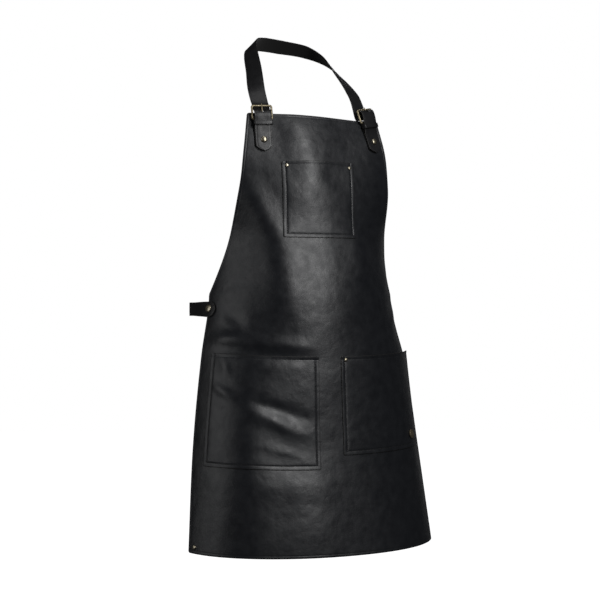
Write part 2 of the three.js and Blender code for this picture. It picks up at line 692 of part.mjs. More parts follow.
// Route of the strap through a buckle, from its end up: under the keeper, over the heel bar,
// in through the frame and up behind the top bar
function buckleRoute(hump) {
  const lie = GAP + STRAP_WALL / 2 + STRAP_EASE;
  const underKeeper = [STRAP_END_UP, KEEPER_UP + KEEPER_HEIGHT / 2, KEEPER_UP + KEEPER_HEIGHT];
  const behind = BUCKLE_OUT - WIRE_RADIUS - lie - STRAP_BEHIND;
  return [
    ...underKeeper.map((up) => [up, tabFront(up) + lie]),
    ...hump.map((row) => [row.up, row.out]),
    [TOP_BAR_UP, behind],
    [TOP_BAR_UP + STRAP_LEAVE.up, behind - STRAP_LEAVE.back],
  ];
}

function neckStrapGeometry() {
  const stations = [];
  const throughBuckle = (k) => {
    const face = new THREE.Vector3().setFromMatrixColumn(tabPlaces[k], 2);
    return buckleRoute(STRAP_HUMPS[TABS[k].side]).map(([up, out]) => ({
      point: new THREE.Vector3(0, up, out).applyMatrix4(tabPlaces[k]),
      face,
    }));
  };
  const rightStations = throughBuckle(0);
  const leftStations = throughBuckle(1).reverse();
  stations.push(...rightStations);
  for (const row of NECK) {
    const yaw = radians(row.yaw);
    const lean = radians(row.lean);
    const flat = Math.cos(lean);
    const face = new THREE.Vector3(-flat * Math.sin(yaw), -flat * Math.cos(yaw), Math.sin(lean));
    stations.push({ point: new THREE.Vector3(row.x, row.y, row.z), face });
  }
  stations.push(...leftStations);
  const route = stations.map((station) => station.point);
  const curve = new THREE.CatmullRomCurve3(route, false, "centripetal");
  const points = [];
  const faces = [];
  const tangents = [];
  const last = stations.length - 1;
  for (let i = 0; i < last; i += 1) {
    const free = i >= rightStations.length - 1 && i < last - leftStations.length + 1;
    const steps = free ? NECK_STEPS : BUCKLE_STEPS;
    for (let k = 0; k < steps; k += 1) {
      const share = k / steps;
      points.push(curve.getPoint((i + share) / last));
      tangents.push(curve.getTangent((i + share) / last));
      faces.push(stations[i].face.clone().lerp(stations[i + 1].face, share));
    }
  }
  points.push(curve.getPoint(1));
  tangents.push(curve.getTangent(1));
  faces.push(stations[last].face);
  const section = rectangle(NECK_WIDTH / 2, STRAP_WALL / 2);
  return sweepGeometry(strapFrames(points, faces, tangents), [section]);
}

// Slot in the neck strap where a prong comes through
function prongSlot(tab, k) {
  const { low, high } = PRONG_SLOTS[tab.side];
  const slot = new THREE.BoxGeometry(PRONG_WIDTH + 4 * GAP, high - low, PRONG_SLOT_DEPTH);
  return slot.translate(0, (low + high) / 2, BUCKLE_OUT + WIRE_RADIUS).applyMatrix4(tabPlaces[k]);
}

const neckStrap = cutAway(neckStrapGeometry(), TABS.map(prongSlot));
addMesh(apron, "neck_strap", neckStrap, leatherMaterial(STRAP_LEATHER));

// Waist strap: a rounded end on the panel, then a level arc round the side to the clasp at the back
function waistStations(side) {
  const lie = WAIST_SEAT + STRAP_WALL / 2;
  const edge = halfWidth(WAIST_STRAP_DROP);
  const roundEnd = WAIST_END_INSETS.map((inset) => WAIST_START + inset);
  const stations = [...roundEnd, edge, edge + WAIST_STEP].map((reach) => ({
    point: leatherPoint(side * reach, WAIST_STRAP_DROP, lie),
    face: wornNormal(side * reach, WAIST_STRAP_DROP),
  }));
  const last = stations.at(-1).point.clone();
  const before = stations.at(-2).point;
  const edgeTip = Math.asin(stations.at(-1).face.z);
  let heading = Math.atan2(last.y - before.y, side * (last.x - before.x));
  let run = 0;
  const addLevel = () => {
    const tip = edgeTip * Math.max(1 - run / WAIST_TAPER, 0);
    const face = new THREE.Vector3(side * Math.sin(heading), -Math.cos(heading), Math.tan(tip));
    stations.push({ point: last.clone(), face: face.normalize() });
  };
  const [sideEnd, backEnd] = [radians(SIDE_HEADING), radians(BACK_HEADING)];
  const backDepth = BACK_RADIUS * (Math.cos(sideEnd) - Math.cos(backEnd));
  const sideRadius = (BACK_Y - last.y - backDepth) / (Math.cos(heading) - Math.cos(sideEnd));
  for (const [radius, end] of [[sideRadius, sideEnd], [BACK_RADIUS, backEnd]]) {
    const steps = Math.ceil((radius * (end - heading)) / WAIST_STEP);
    const turn = (end - heading) / steps;
    const chord = 2 * radius * Math.sin(turn / 2);
    for (let i = 0; i < steps; i += 1) {
      last.x += side * Math.cos(heading + turn / 2) * chord;
      last.y += Math.sin(heading + turn / 2) * chord;
      heading += turn;
      run += chord;
      addLevel();
    }
  }
  for (const x of [2 * CLASP.half, CLASP.strapEnd]) {
    last.x = side * x;
    addLevel();
  }
  return stations;
}

function waistStrapGeometry(side) {
  const stations = waistStations(side);
  const points = stations.map((station) => station.point);
  const tangents = points.map((point, i) => {
    const next = points[Math.min(i + 1, points.length - 1)];
    const previous = points[Math.max(i - 1, 0)];
    return next.clone().sub(previous).normalize();
  });
  let run = WAIST_END_INSETS[0];
  const sections = points.map((point, i) => {
    if (i > 0) run += point.distanceTo(points[i - 1]);
    const taper = Math.min(run / WAIST_TAPER, 1);
    const full = THREE.MathUtils.lerp(WAIST_WIDTH, WAIST_NARROW, taper) / 2;
    const round = Math.max(1 - run / full, 0);
    return rectangle(full * Math.sqrt(1 - round ** 2), STRAP_WALL / 2);
  });
  const faces = stations.map((station) => station.face);
  return sweepGeometry(strapFrames(points, faces, tangents), sections);
}

// Waist straps with the rivets that hold them to the panel
[RIGHT, LEFT].forEach((side, k) => {
  const word = side === RIGHT ? "right" : "left";
  const strap = cutAway(waistStrapGeometry(side), [rivetHole(waistPlaces[k])]);
  addMesh(apron, `waist_strap_${word}`, strap, leatherMaterial(STRAP_LEATHER));
  const { head, dome } = WAIST_RIVET;
  const seat = WAIST_SEAT + STRAP_WALL + GAP;
  addRivet(`waist_rivet_${word}`, waistPlaces[k], head, dome, seat, ANTIQUE_BRASS);
});

// Plain sleeve clasp that holds both waist straps' ends
function claspGeometry() {
  const deep = STRAP_WALL / 2 + GAP;
  const high = WAIST_NARROW / 2 + GAP;
  const outline = new THREE.Shape();
  rectangle(high + CLASP.wall, deep + CLASP.wall).forEach(([a, b], k) => {
    if (k === 0) outline.moveTo(a, b);
    else outline.lineTo(a, b);
  });
  const bore = new THREE.Path();
  rectangle(high, deep).reverse().forEach(([a, b], k) => {
    if (k === 0) bore.moveTo(a, b);
    else bore.lineTo(a, b);
  });
  outline.holes.push(bore);
  const geometry = new THREE.ExtrudeGeometry(outline, { depth: 2 * CLASP.half, bevelEnabled: false });
  return geometry.translate(0, 0, -CLASP.half).rotateY(Math.PI / 2);
}

const clasp = addMesh(apron, "waist_clasp", claspGeometry(), brassMaterial(ANTIQUE_BRASS));
const [rightEnd, leftEnd] = [RIGHT, LEFT].map((side) => waistStations(side).at(-1).point);
clasp.position.addVectors(rightEnd, leftEnd).multiplyScalar(0.5);

export default apron;
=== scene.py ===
import math

import bmesh
import bpy
import numpy as np
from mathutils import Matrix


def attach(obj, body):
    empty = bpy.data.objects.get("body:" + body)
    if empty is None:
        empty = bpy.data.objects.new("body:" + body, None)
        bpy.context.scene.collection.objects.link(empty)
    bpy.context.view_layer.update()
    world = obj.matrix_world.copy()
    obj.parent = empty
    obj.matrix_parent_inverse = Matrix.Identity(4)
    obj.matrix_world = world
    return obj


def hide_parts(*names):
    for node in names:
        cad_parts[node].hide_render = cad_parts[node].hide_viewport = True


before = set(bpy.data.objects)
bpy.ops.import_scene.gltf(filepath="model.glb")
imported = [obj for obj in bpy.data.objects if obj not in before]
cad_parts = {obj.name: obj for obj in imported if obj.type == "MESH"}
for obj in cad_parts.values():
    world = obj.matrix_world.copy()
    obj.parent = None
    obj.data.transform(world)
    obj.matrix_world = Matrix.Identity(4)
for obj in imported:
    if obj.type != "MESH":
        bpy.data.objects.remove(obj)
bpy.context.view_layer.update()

# Apron panel: one piece of full-grain cowhide, cut with a narrow bib, waist corners and a flaring skirt.
# It hangs from the neck strap in a deep worn curve. A crease runs inside its burnished cut edges.
# Sizes are millimetres: across is measured from the middle line, drop down from the bib's top edge.
PANEL_WALL = 1.9
PANEL_DROP = 800
WAIST_DROP = 332
HEM_HALF = 281.5
BIB_CUT = {
    "drop": [0, 60, 130, 220, WAIST_DROP],
    "half": [132, 142.5, 153, 177.3, 235.7],
}
BIB_TOP_Z = -156
LIFT_REACH = 200
WORN = {
    "drop": [0, 60, 130, 220, WAIST_DROP, 450, 620, PANEL_DROP],
    "y": [-179, -192.5, -206, -216, -234, -241.5, -252, -277],
    "turn": [11.5, 12.5, 26, 52.7, 71.2, 68.5, 66.9, 68.4],
    "ease": [0.2, 0.21, 0.2, 0.13, 0.14, 0.31, 0.46, 0.57],
    "lift": [-1.5, -2.2, -2.4, -1.5, 1.1, 4.9, 5, 3.4],
    "tilt": [3.7, -0.8, -1, -0.7, -0.3, 0.2, 0, 0.7],
}
FOLDS = [
    # across, drop, angle below level, length, width, height
    (-14, 70, 97, 320, 52, 7.5),
    (127.6, 30, 77, 240, 18, -4.2),
    (-116, 182, 64, 200, 22, 5),
    (-84, 160, 64, 170, 22, -1),
    (-85, 290, 88, 280, 40, 9),
    (45, 280, 90, 260, 35, 1),
    (-180, 371, 43, 100, 14, -3),
    (-115, 420, 5, 250, 12, 3),
    (-118, 441, 4, 250, 12, -3.5),
    (-103, 537, 17, 210, 13, -3),
    (-104, 560, 25, 190, 13, 2.8),
    (-165, 640, 90, 640, 70, 15),
    (-85, 672, 2, 260, 26, 2.5),
    (-150, 600, 90, 260, 24, 2),
    (-88, 614, 16, 150, 10, 0.9),
    (-192, 512, 28, 80, 9, 3),
    (-190, 466, 72, 60, 10, 2.2),
    (-190, 416, -8, 90, 11, 3.5),
    (-75, 36, 10, 120, 15, -1.5),
    (22, 118, 30, 80, 20, -1.5),
    (165, 300, -52, 120, 9, 1.2),
    (185, 372, -45, 110, 10, 1.4),
    (75, 262, 88, 170, 26, 4.5),
    (-112, 185, 75, 200, 50, 4.5),
    (-45, 740, 90, 300, 55, 5),
    (-50, 28, 88, 150, 28, 3.2),
]
WRAP = {"turn": 24, "share": 0.72, "drop": 358, "reach": 75}
SECTION_STEPS = 24
LEVEL_STEPS = 400
PANEL_PITCH = 4.5
PANEL_CORNER = 4
EDGE_ROUND = 0.8
CREASE_INSET = 5
CREASE_WIDTH = 0.8
CREASE_DEPTH = 0.22
PANEL_LINES = [0, 0.12, 0.4, 0.8, 3.2, 4, 4.5, 5, 5.5, 6, 7]


def smooth(table, column, drop):
    """Smooth curve through a table's column, read at a drop."""
    at = np.array(table["drop"], float)
    value = np.array(table[column], float)
    span = np.diff(at)
    secant = np.diff(value) / span
    inner = (secant[:-1] * span[1:] + secant[1:] * span[:-1]) / (span[:-1] + span[1:])
    slope = np.concatenate([secant[:1], inner, secant[-1:]])
    drop = np.clip(drop, at[0], at[-1])
    i = np.clip(np.searchsorted(at, drop, side="right") - 1, 0, len(span) - 1)
    k = (drop - at[i]) / span[i]
    start = (2 * k**3 - 3 * k**2 + 1) * value[i]
    end = (3 * k**2 - 2 * k**3) * value[i + 1]
    leave = (k**3 - 2 * k**2 + k) * span[i] * slope[i]
    arrive = (k**3 - k**2) * span[i] * slope[i + 1]
    return start + end + leave + arrive


def half_width(drop):
    """Half of the panel's cut width: a curved bib above a straight flaring skirt."""
    waist_half = BIB_CUT["half"][-1]
    flare = (HEM_HALF - waist_half) * (drop - WAIST_DROP) / (PANEL_DROP - WAIST_DROP)
    return np.where(drop < WAIST_DROP, smooth(BIB_CUT, "half", drop), waist_half + flare)


level_drops = np.linspace(0, PANEL_DROP, LEVEL_STEPS + 1)
level_leans = np.diff(smooth(WORN, "y", level_drops))
level_falls = np.sqrt((PANEL_DROP / LEVEL_STEPS) ** 2 - level_leans**2)
levels = BIB_TOP_Z - np.concatenate([[0], np.cumsum(level_falls)])


def worn_point(across, drop):
    """Smooth outer face of the worn panel, without folds."""
    across, drop = np.broadcast_arrays(np.asarray(across, float), np.asarray(drop, float))
    reach = np.abs(across)
    half = half_width(drop)
    turn = np.radians(smooth(WORN, "turn", drop))
    ease = smooth(WORN, "ease", drop)
    step = reach / SECTION_STEPS
    x = np.zeros(reach.shape)
    y = smooth(WORN, "y", drop)
    pulled = np.where(across > 0, np.exp(-(((drop - WRAP["drop"]) / WRAP["reach"]) ** 2)), 0)
    wrap = math.radians(WRAP["turn"]) / (1 - WRAP["share"]) * pulled
    for i in range(SECTION_STEPS):
        share = (i + 0.5) * step / half
        even = turn * ((1 - ease) * share + ease * share**3)
        angle = even + wrap * np.clip(share - WRAP["share"], 0, None)
        x = x + np.cos(angle) * step
        y = y + np.sin(angle) * step
    lift = smooth(WORN, "lift", drop) * (reach / LIFT_REACH) ** 2
    tilt = smooth(WORN, "tilt", drop) * across / half
    z = np.interp(drop, level_drops, levels) + lift - tilt
    return np.stack([np.sign(across) * x, y, z], axis=-1)


def unit(vectors):
    return vectors / np.linalg.norm(vectors, axis=-1, keepdims=True)


def worn_normal(across, drop):
    above = worn_point(across, np.maximum(drop - 1, 0))
    below = worn_point(across, np.minimum(drop + 1, PANEL_DROP))
    right = worn_point(across - 1, drop)
    left = worn_point(across + 1, drop)
    return unit(np.cross(below - above, left - right))


def fold_height(across, drop):
    """Height of the folds over the smooth form."""
    height = np.zeros(np.broadcast(across, drop).shape)
    for middle, down, angle, length, width, rise in FOLDS:
        lean = math.radians(angle)
        along = ((across - middle) * math.cos(lean) + (drop - down) * math.sin(lean)) / length
        beside = ((drop - down) * math.cos(lean) - (across - middle) * math.sin(lean)) / width
        fade = np.where(np.abs(along) < 0.5, np.cos(np.pi * along) ** 2, 0)
        height = height + rise * fade * np.exp(-(beside**2))
    return height


def leather_point(across, drop, out):
    """Point at a distance out from the panel's outer face."""
    rise = fold_height(across, drop) + out
    return worn_point(across, drop) + worn_normal(across, drop) * rise[..., None]


def close_set(length, lines, pitch):
    """Lines over a length, close together near both ends, for one length or a row of lengths."""
    length = np.asarray(length, float)[..., None]
    steps = math.ceil((length.max() - 2 * lines[-1]) / pitch)
    inner = lines[-1] + (length - 2 * lines[-1]) * np.arange(1, steps) / steps
    start = np.broadcast_to(lines, inner.shape[:-1] + (len(lines),))
    return np.concatenate([start, inner, length - start[..., ::-1]], axis=-1)


def round_corner(side, end, radius):
    """Insets from a side and from an end, moved so that the corner between them is round."""
    p = np.clip(radius - side, 0, None)
    q = np.clip(radius - end, 0, None)
    reach = np.maximum(p, q)
    angle = math.pi / 4 * np.minimum(p, q) / np.maximum(reach, 1e-9)
    long, short = reach * np.cos(angle), reach * np.sin(angle)
    inside = (p > 0) & (q > 0)
    new_side = np.where(inside, radius - np.where(p >= q, long, short), side)
    new_end = np.where(inside, radius - np.where(p >= q, short, long), end)
    return new_side, new_end


def rounding(inset, radius):
    """How far a face sinks near a rounded edge."""
    short = np.clip(radius - inset, 0, None)
    return radius - np.sqrt(radius**2 - short**2)


def groove(inset, place, width, depth):
    return depth * np.exp(-(((inset - place) / width) ** 2))


def make_piece(name, points, faces, materials, face_materials=None):
    """New piece of the apron from points in millimetres, with its faces turned outwards."""
    mesh = bpy.data.meshes.new(name)
    mesh.from_pydata((np.asarray(points).reshape(-1, 3) / 1000).tolist(), [], faces)
    for material in materials:
        mesh.materials.append(material)
    if face_materials is not None:
        mesh.polygons.foreach_set("material_index", np.asarray(face_materials, np.int32))
    mesh.polygons.foreach_set("use_smooth", np.ones(len(mesh.polygons), bool))
    shape = bmesh.new()
    shape.from_mesh(mesh)
    bmesh.ops.recalc_face_normals(shape, faces=shape.faces)
    shape.to_mesh(mesh)
    shape.free()
    piece = bpy.data.objects.new(name, mesh)
    bpy.context.scene.collection.objects.link(piece)
    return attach(piece, "root")


def make_sheet(name, outer, inner, materials, edge_lines):
    """Closed leather sheet from matching grids of points on its grain side and its flesh side."""
    rows, columns = outer.shape[:2]
    index = np.arange(rows * columns).reshape(rows, columns)
    front = np.stack([index[:-1, :-1], index[1:, :-1], index[1:, 1:], index[:-1, 1:]], axis=-1)
    on_edge = np.zeros(front.shape[:2], bool)
    for band in (np.s_[:edge_lines], np.s_[-edge_lines:]):
        on_edge[band] = True
        on_edge[:, band] = True
    back = front.reshape(-1, 4)[:, ::-1] + rows * columns
    rim = np.concatenate([index[:-1, 0], index[-1, :-1], index[:0:-1, -1], index[0, :0:-1]])
    after = np.roll(rim, -1)
    edge = np.stack([after, rim, rim + rows * columns, after + rows * columns], axis=-1)
    faces = np.concatenate([front.reshape(-1, 4), back, edge]).tolist()
    grain, flesh, cut = 0, 1, 2
    used = [np.where(on_edge, cut, grain).ravel(), np.full(len(back), flesh), np.full(len(edge), cut)]
    points = np.concatenate([outer.reshape(-1, 3), inner.reshape(-1, 3)])
    return make_piece(name, points, faces, materials, np.concatenate(used))


def linear(hex_colour):
    """sRGB hex colour as linear RGBA."""
    shares = [int(hex_colour[i : i + 2], 16) / 255 for i in (1, 3, 5)]
    return [c / 12.92 if c <= 0.04045 else ((c + 0.055) / 1.055) ** 2.4 for c in shares] + [1]


def add_node(tree, kind, inputs, **settings):
    """Adds a node with its settings; an input is a value or the socket that feeds it."""
    node = tree.nodes.new("ShaderNode" + kind)
    for name, value in settings.items():
        setattr(node, name, value)
    for name, value in inputs.items():
        if isinstance(value, bpy.types.NodeSocket):
            tree.links.new(value, node.inputs[name])
        else:
            node.inputs[name].default_value = value
    return node


def new_material(name):
    """Empty material, with its node tree and the coordinates of the piece in metres."""
    material = bpy.data.materials.new(name)
    material.use_nodes = True
    tree = material.node_tree
    tree.nodes.clear()
    place = add_node(tree, "TexCoord", {}).outputs["Object"]
    return material, tree, place


def finish_material(tree, inputs):
    shader = add_node(tree, "BsdfPrincipled", inputs)
    add_node(tree, "OutputMaterial", {"Surface": shader.outputs[0]})


def waxed_full_grain_leather(name, dark, light):
    """Full-grain cowhide, dyed through, plated smooth and waxed: broad soft highlights that a fine
    pebble grain and the hide's own unevenness break up. Pores of 0.4 mm are drawn at 1.3 mm to show."""
    material, tree, place = new_material(name)
    pebble_m, crinkle_m, cloud_m, hollow_m = 0.0013, 0.006, 0.016, 0.042
    pebble = add_node(tree, "TexVoronoi", {"Vector": place, "Scale": 1 / pebble_m})
    crinkle = add_node(tree, "TexNoise", {"Vector": place, "Scale": 1 / crinkle_m, "Detail": 3})
    cloud = add_node(tree, "TexNoise", {"Vector": place, "Scale": 1 / cloud_m, "Detail": 3})
    hollow = add_node(tree, "TexNoise", {"Vector": place, "Scale": 1 / hollow_m, "Detail": 2})
    normal = None
    heights = [(hollow, 0.0015), (cloud, 0.0004), (crinkle, 0.00009), (pebble, 0.00005)]
    for texture, height_m in heights:
        inputs = {"Height": texture.outputs[0], "Distance": height_m, "Strength": 1}
        if normal:
            inputs["Normal"] = normal
        normal = add_node(tree, "Bump", inputs).outputs["Normal"]
    tone = add_node(tree, "Mix", {0: cloud.outputs[0], 6: linear(dark), 7: linear(light)}, data_type="RGBA")
    gloss = add_node(tree, "MapRange", {0: cloud.outputs[0], 1: 0.3, 2: 0.7, 3: 0.34, 4: 0.44})
    finish_material(tree, {
        "Base Color": tone.outputs[2],
        "Roughness": gloss.outputs[0],
        "Normal": normal,
        "IOR": 1.5,
    })
    return material


def leather_flesh_side(name, dark, light, nap_m):
    """Flesh side of the hide, shaved: matt, with fibres about 2 mm long that stand up as a nap on the
    panel and are slicked down on the straps."""
    material, tree, place = new_material(name)
    fibre = add_node(tree, "TexNoise", {"Vector": place, "Scale": 1 / 0.002, "Detail": 5, "Roughness": 0.7})
    patch = add_node(tree, "TexNoise", {"Vector": place, "Scale": 1 / 0.03, "Detail": 3})
    nap = add_node(tree, "Bump", {"Height": fibre.outputs[0], "Distance": nap_m, "Strength": 1})
    tone = add_node(tree, "Mix", {0: patch.outputs[0], 6: linear(dark), 7: linear(light)}, data_type="RGBA")
    finish_material(tree, {
        "Base Color": tone.outputs[2],
        "Roughness": 0.92,
        "Normal": nap.outputs["Normal"],
        "Sheen Weight": 0.15,
    })
    return material


def burnished_leather_edge(name, dark, light):
    """Cut edge, dyed and rubbed with wax until it is smooth: as dark as the face, with a soft sheen."""
    material, tree, place = new_material(name)
    layer = add_node(tree, "TexNoise", {"Vector": place, "Scale": 1 / 0.0025, "Detail": 4})
    wear = add_node(tree, "Bump", {"Height": layer.outputs[0], "Distance": 0.00012, "Strength": 1})
    tone = add_node(tree, "Mix", {0: layer.outputs[0], 6: linear(dark), 7: linear(light)}, data_type="RGBA")
    finish_material(tree, {
        "Base Color": tone.outputs[2],
        "Roughness": 0.5,
        "Normal": wear.outputs["Normal"],
    })
    return material


black_leather = [
    waxed_full_grain_leather("waxed_full_grain_leather", "#18191d", "#24262a"),
    leather_flesh_side("shaved_flesh_side", "#2b2826", "#46413c", 0.0003),
    burnished_leather_edge("burnished_leather_edge", "#171615", "#262422"),
]

panel_drop = close_set(PANEL_DROP, PANEL_LINES, PANEL_PITCH)[:, None]
panel_half = half_width(panel_drop)
panel_run = close_set(2 * panel_half[:, 0], PANEL_LINES, PANEL_PITCH)
panel_side = np.minimum(panel_run, 2 * panel_half - panel_run)
panel_end = np.minimum(panel_drop, PANEL_DROP - panel_drop)
panel_inset = np.minimum(panel_side, panel_end)
cut_side, cut_end = round_corner(panel_side, panel_end, PANEL_CORNER)
panel_across = np.where(panel_run < panel_half, cut_side - panel_half, panel_half - cut_side)
panel_down = np.where(panel_drop < PANEL_DROP / 2, cut_end, PANEL_DROP - cut_end)
panel_sink = rounding(panel_inset, EDGE_ROUND)
panel_crease = groove(panel_inset, CREASE_INSET, CREASE_WIDTH, CREASE_DEPTH)
panel = make_sheet(
    "panel_leather",
    leather_point(panel_across, panel_down, -panel_sink - panel_crease),
    leather_point(panel_across, panel_down, panel_sink - PANEL_WALL),
    black_leather,
    edge_lines=3,
)
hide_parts("apron_panel")

# Patch pockets: a small one on the bib and a deep one on each hip, cut from the same cowhide.
# Each is sewn to the panel along its sides and bottom. Its mouth has a creased band and stands a little
# open; the hip pockets' sides follow the panel's flare.
GAP = 0.3
POCKET_WALL = 1.6
POCKET_PITCH = 3
POCKET_CORNER = 3
SEAM_INSET = 7
SEAM_WIDTH = 1
SEAM_DEPTH = 0.4
PULL_WIDTH = 3
PULL_DEPTH = 0.25
MOUTH_BAND = 6
MOUTH_FLARE = 0.9
POCKET_LINES = [0, 0.12, 0.4, 0.8, 2.5, 4.2, 5.2, 6, 6.5, 7, 7.5, 8, 9, 11]
HIP_TOP = 443
HIP_INNER = 0.0874
HIP_OUTER = 0.8866
POCKETS = {
    "chest_pocket": {
        "top": 87, "height": 140, "right": -76, "left": 66, "flared": False,
        "mouth": 1.5, "corner": 0, "outer": 1,
    },
    "right_hip_pocket": {
        "top": HIP_TOP, "height": 202, "right": -HIP_OUTER, "left": -HIP_INNER, "flared": True,
        "mouth": 3, "corner": 1, "outer": -1,
    },
    "left_hip_pocket": {
        "top": HIP_TOP, "height": 178, "right": HIP_INNER, "left": HIP_OUTER, "flared": True,
        "mouth": 3, "corner": 5.5, "outer": 1,
    },
}


def pocket_sides(pocket, drop):
    """Where the pocket's right and left edges run; flared edges are shares of the panel's half width."""
    scale = half_width(drop) if pocket["flared"] else np.ones(np.shape(drop))
    return pocket["right"] * scale, pocket["left"] * scale


def pocket_seat(pocket, across, drop):
    """Gap between the panel and the pocket, which grows towards its mouth."""
    right, left = pocket_sides(pocket, drop)
    share = (across - right) / (left - right)
    outward = share if pocket["outer"] > 0 else 1 - share
    up = 1 - (drop - pocket["top"]) / pocket["height"]
    mouth = pocket["mouth"] * np.sin(np.pi * share) ** 2 * up**2
    return GAP + mouth + pocket["corner"] * outward**4 * up**4


def pocket_relief(side, below, above):
    """Height of the face over a flat pocket: pulled down at the seam and flared at the mouth."""
    sewn = np.minimum(side, below)
    stitched = groove(sewn, SEAM_INSET, SEAM_WIDTH, SEAM_DEPTH)
    pulled = groove(sewn, SEAM_INSET, PULL_WIDTH, PULL_DEPTH)
    crease = groove(above, MOUTH_BAND, CREASE_WIDTH, CREASE_DEPTH)
    flare = MOUTH_FLARE * np.clip(1 - above / MOUTH_BAND, 0, None)
    return flare - (stitched + pulled) - crease


for name, pocket in POCKETS.items():
    depth = close_set(pocket["height"], POCKET_LINES, POCKET_PITCH)[:, None]
    right, left = pocket_sides(pocket, pocket["top"] + depth)
    width = left - right
    run = close_set(width[:, 0], POCKET_LINES, POCKET_PITCH)
    side = np.minimum(run, width - run)
    end = np.minimum(depth, pocket["height"] - depth)
    inset = np.minimum(side, end)
    cut_side, cut_end = round_corner(side, end, POCKET_CORNER)
    across = np.where(run < width / 2, right + cut_side, left - cut_side)
    down = pocket["top"] + np.where(depth < pocket["height"] / 2, cut_end, pocket["height"] - cut_end)
    seat = pocket_seat(pocket, across, down)
    sink = rounding(inset, 0.9 * EDGE_ROUND)
    relief = pocket_relief(side, pocket["height"] - depth, depth)
    flare = np.clip(relief, 0, None)
    piece = make_sheet(
        name + "_leather",
        leather_point(across, down, seat + POCKET_WALL + relief - sink),
        leather_point(across, down, seat + flare + sink),
        black_leather,
        edge_lines=3,
    )
    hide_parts(name)

# Pocket seams: lock stitches of bonded black polyester thread, sunk in the grooves round each pocket.
# They show again on the panel's flesh side.
STITCH_PITCH = 3.8
STITCH_LENGTH = 3.1
THREAD_RADIUS = 0.42
STITCH_SLANT = 9
STITCH_RINGS = 7
STITCH_SIDES = 8
SEAM_START = 14


def bonded_polyester_thread(name, dark, light):
    """Bonded polyester sewing thread: plies of 0.3 mm twisted round each other under a waxy film."""
    material, tree, place = new_material(name)
    ply = add_node(tree, "TexNoise", {"Vector": place, "Scale": 1 / 0.0003, "Detail": 2})
    twist = add_node(tree, "Bump", {"Height": ply.outputs[0], "Distance": 0.00008, "Strength": 1})
    tone = add_node(tree, "Mix", {0: ply.outputs[0], 6: linear(dark), 7: linear(light)}, data_type="RGBA")
    finish_material(tree, {
        "Base Color": tone.outputs[2],
        "Roughness": 0.55,
        "Normal": twist.outputs["Normal"],
    })
    return material


def seam_line(pocket):
    """Places of the stitches down the right side, along the bottom and up the left side."""
    bottom = pocket["height"] - SEAM_INSET
    downs = np.arange(SEAM_START, bottom, STITCH_PITCH)
    right, left = pocket_sides(pocket, pocket["top"] + downs)
    low_right, low_left = (float(edge) for edge in pocket_sides(pocket, np.array(pocket["top"] + bottom)))
    acrosses = np.arange(low_right + SEAM_INSET, low_left - SEAM_INSET, STITCH_PITCH)
    across = np.concatenate([right + SEAM_INSET, acrosses, (left - SEAM_INSET)[::-1]])
    down = np.concatenate([downs, np.full(len(acrosses), bottom), downs[::-1]])
    return across, pocket["top"] + down


def stitch_mesh(points, along, normal):
    """Rounded stitches laid at points, joined in one mesh."""
    turn = np.linspace(0, math.pi, STITCH_RINGS + 2)[1:-1]
    ring = np.linspace(0, 2 * math.pi, STITCH_SIDES, endpoint=False)
    length = -STITCH_LENGTH / 2 * np.cos(turn)
    girth = THREAD_RADIUS * np.sin(turn) ** 0.5
    sideways = unit(np.cross(normal, along))
    slant = math.radians(STITCH_SLANT)
    along, sideways = (
        along * math.cos(slant) + sideways * math.sin(slant),
        sideways * math.cos(slant) - along * math.sin(slant),
    )
    local = np.stack([
        np.repeat(length, STITCH_SIDES),
        np.outer(girth, np.cos(ring)).ravel(),
        np.outer(girth, np.sin(ring)).ravel(),
    ])
    axes = np.stack([along, sideways, normal], axis=1)
    vertices = points[:, None] + np.einsum("ak,nac->nkc", local, axes)
    index = np.arange(STITCH_RINGS * STITCH_SIDES).reshape(STITCH_RINGS, STITCH_SIDES)
    beside = np.roll(index, -1, axis=1)
    tube = np.stack([index[:-1], beside[:-1], beside[1:], index[1:]], axis=-1).reshape(-1, 4)
    shifts = np.arange(len(points)) * index.size
    faces = (tube + shifts[:, None, None]).reshape(-1, 4).tolist()
    for cap in (index[0], index[-1]):
        faces += (cap + shifts[:, None]).tolist()
    return vertices.reshape(-1, 3), faces


black_thread = [bonded_polyester_thread("bonded_polyester_thread", "#141414", "#2a2a2a")]
for name, pocket in POCKETS.items():
    across, down = seam_line(pocket)
    face_out = pocket_seat(pocket, across, down) + POCKET_WALL - SEAM_DEPTH - PULL_DEPTH
    meshes = []
    for out, side in ((face_out + 0.5 * THREAD_RADIUS, 1), (np.full(across.shape, -PANEL_WALL), -1)):
        points = leather_point(across, down, out)
        along = unit(np.gradient(points, axis=0))
        normal = side * worn_normal(across, down)
        square = unit(normal - along * np.sum(normal * along, axis=1)[:, None])
        meshes.append(stitch_mesh(points, along, square))
    shift = len(meshes[0][0])
    faces = meshes[0][1] + [[i + shift for i in face] for face in meshes[1][1]]
    points = np.concatenate([meshes[0][0], meshes[1][0]])
    stitches = make_piece(name + "_stitches", points, faces, black_thread)

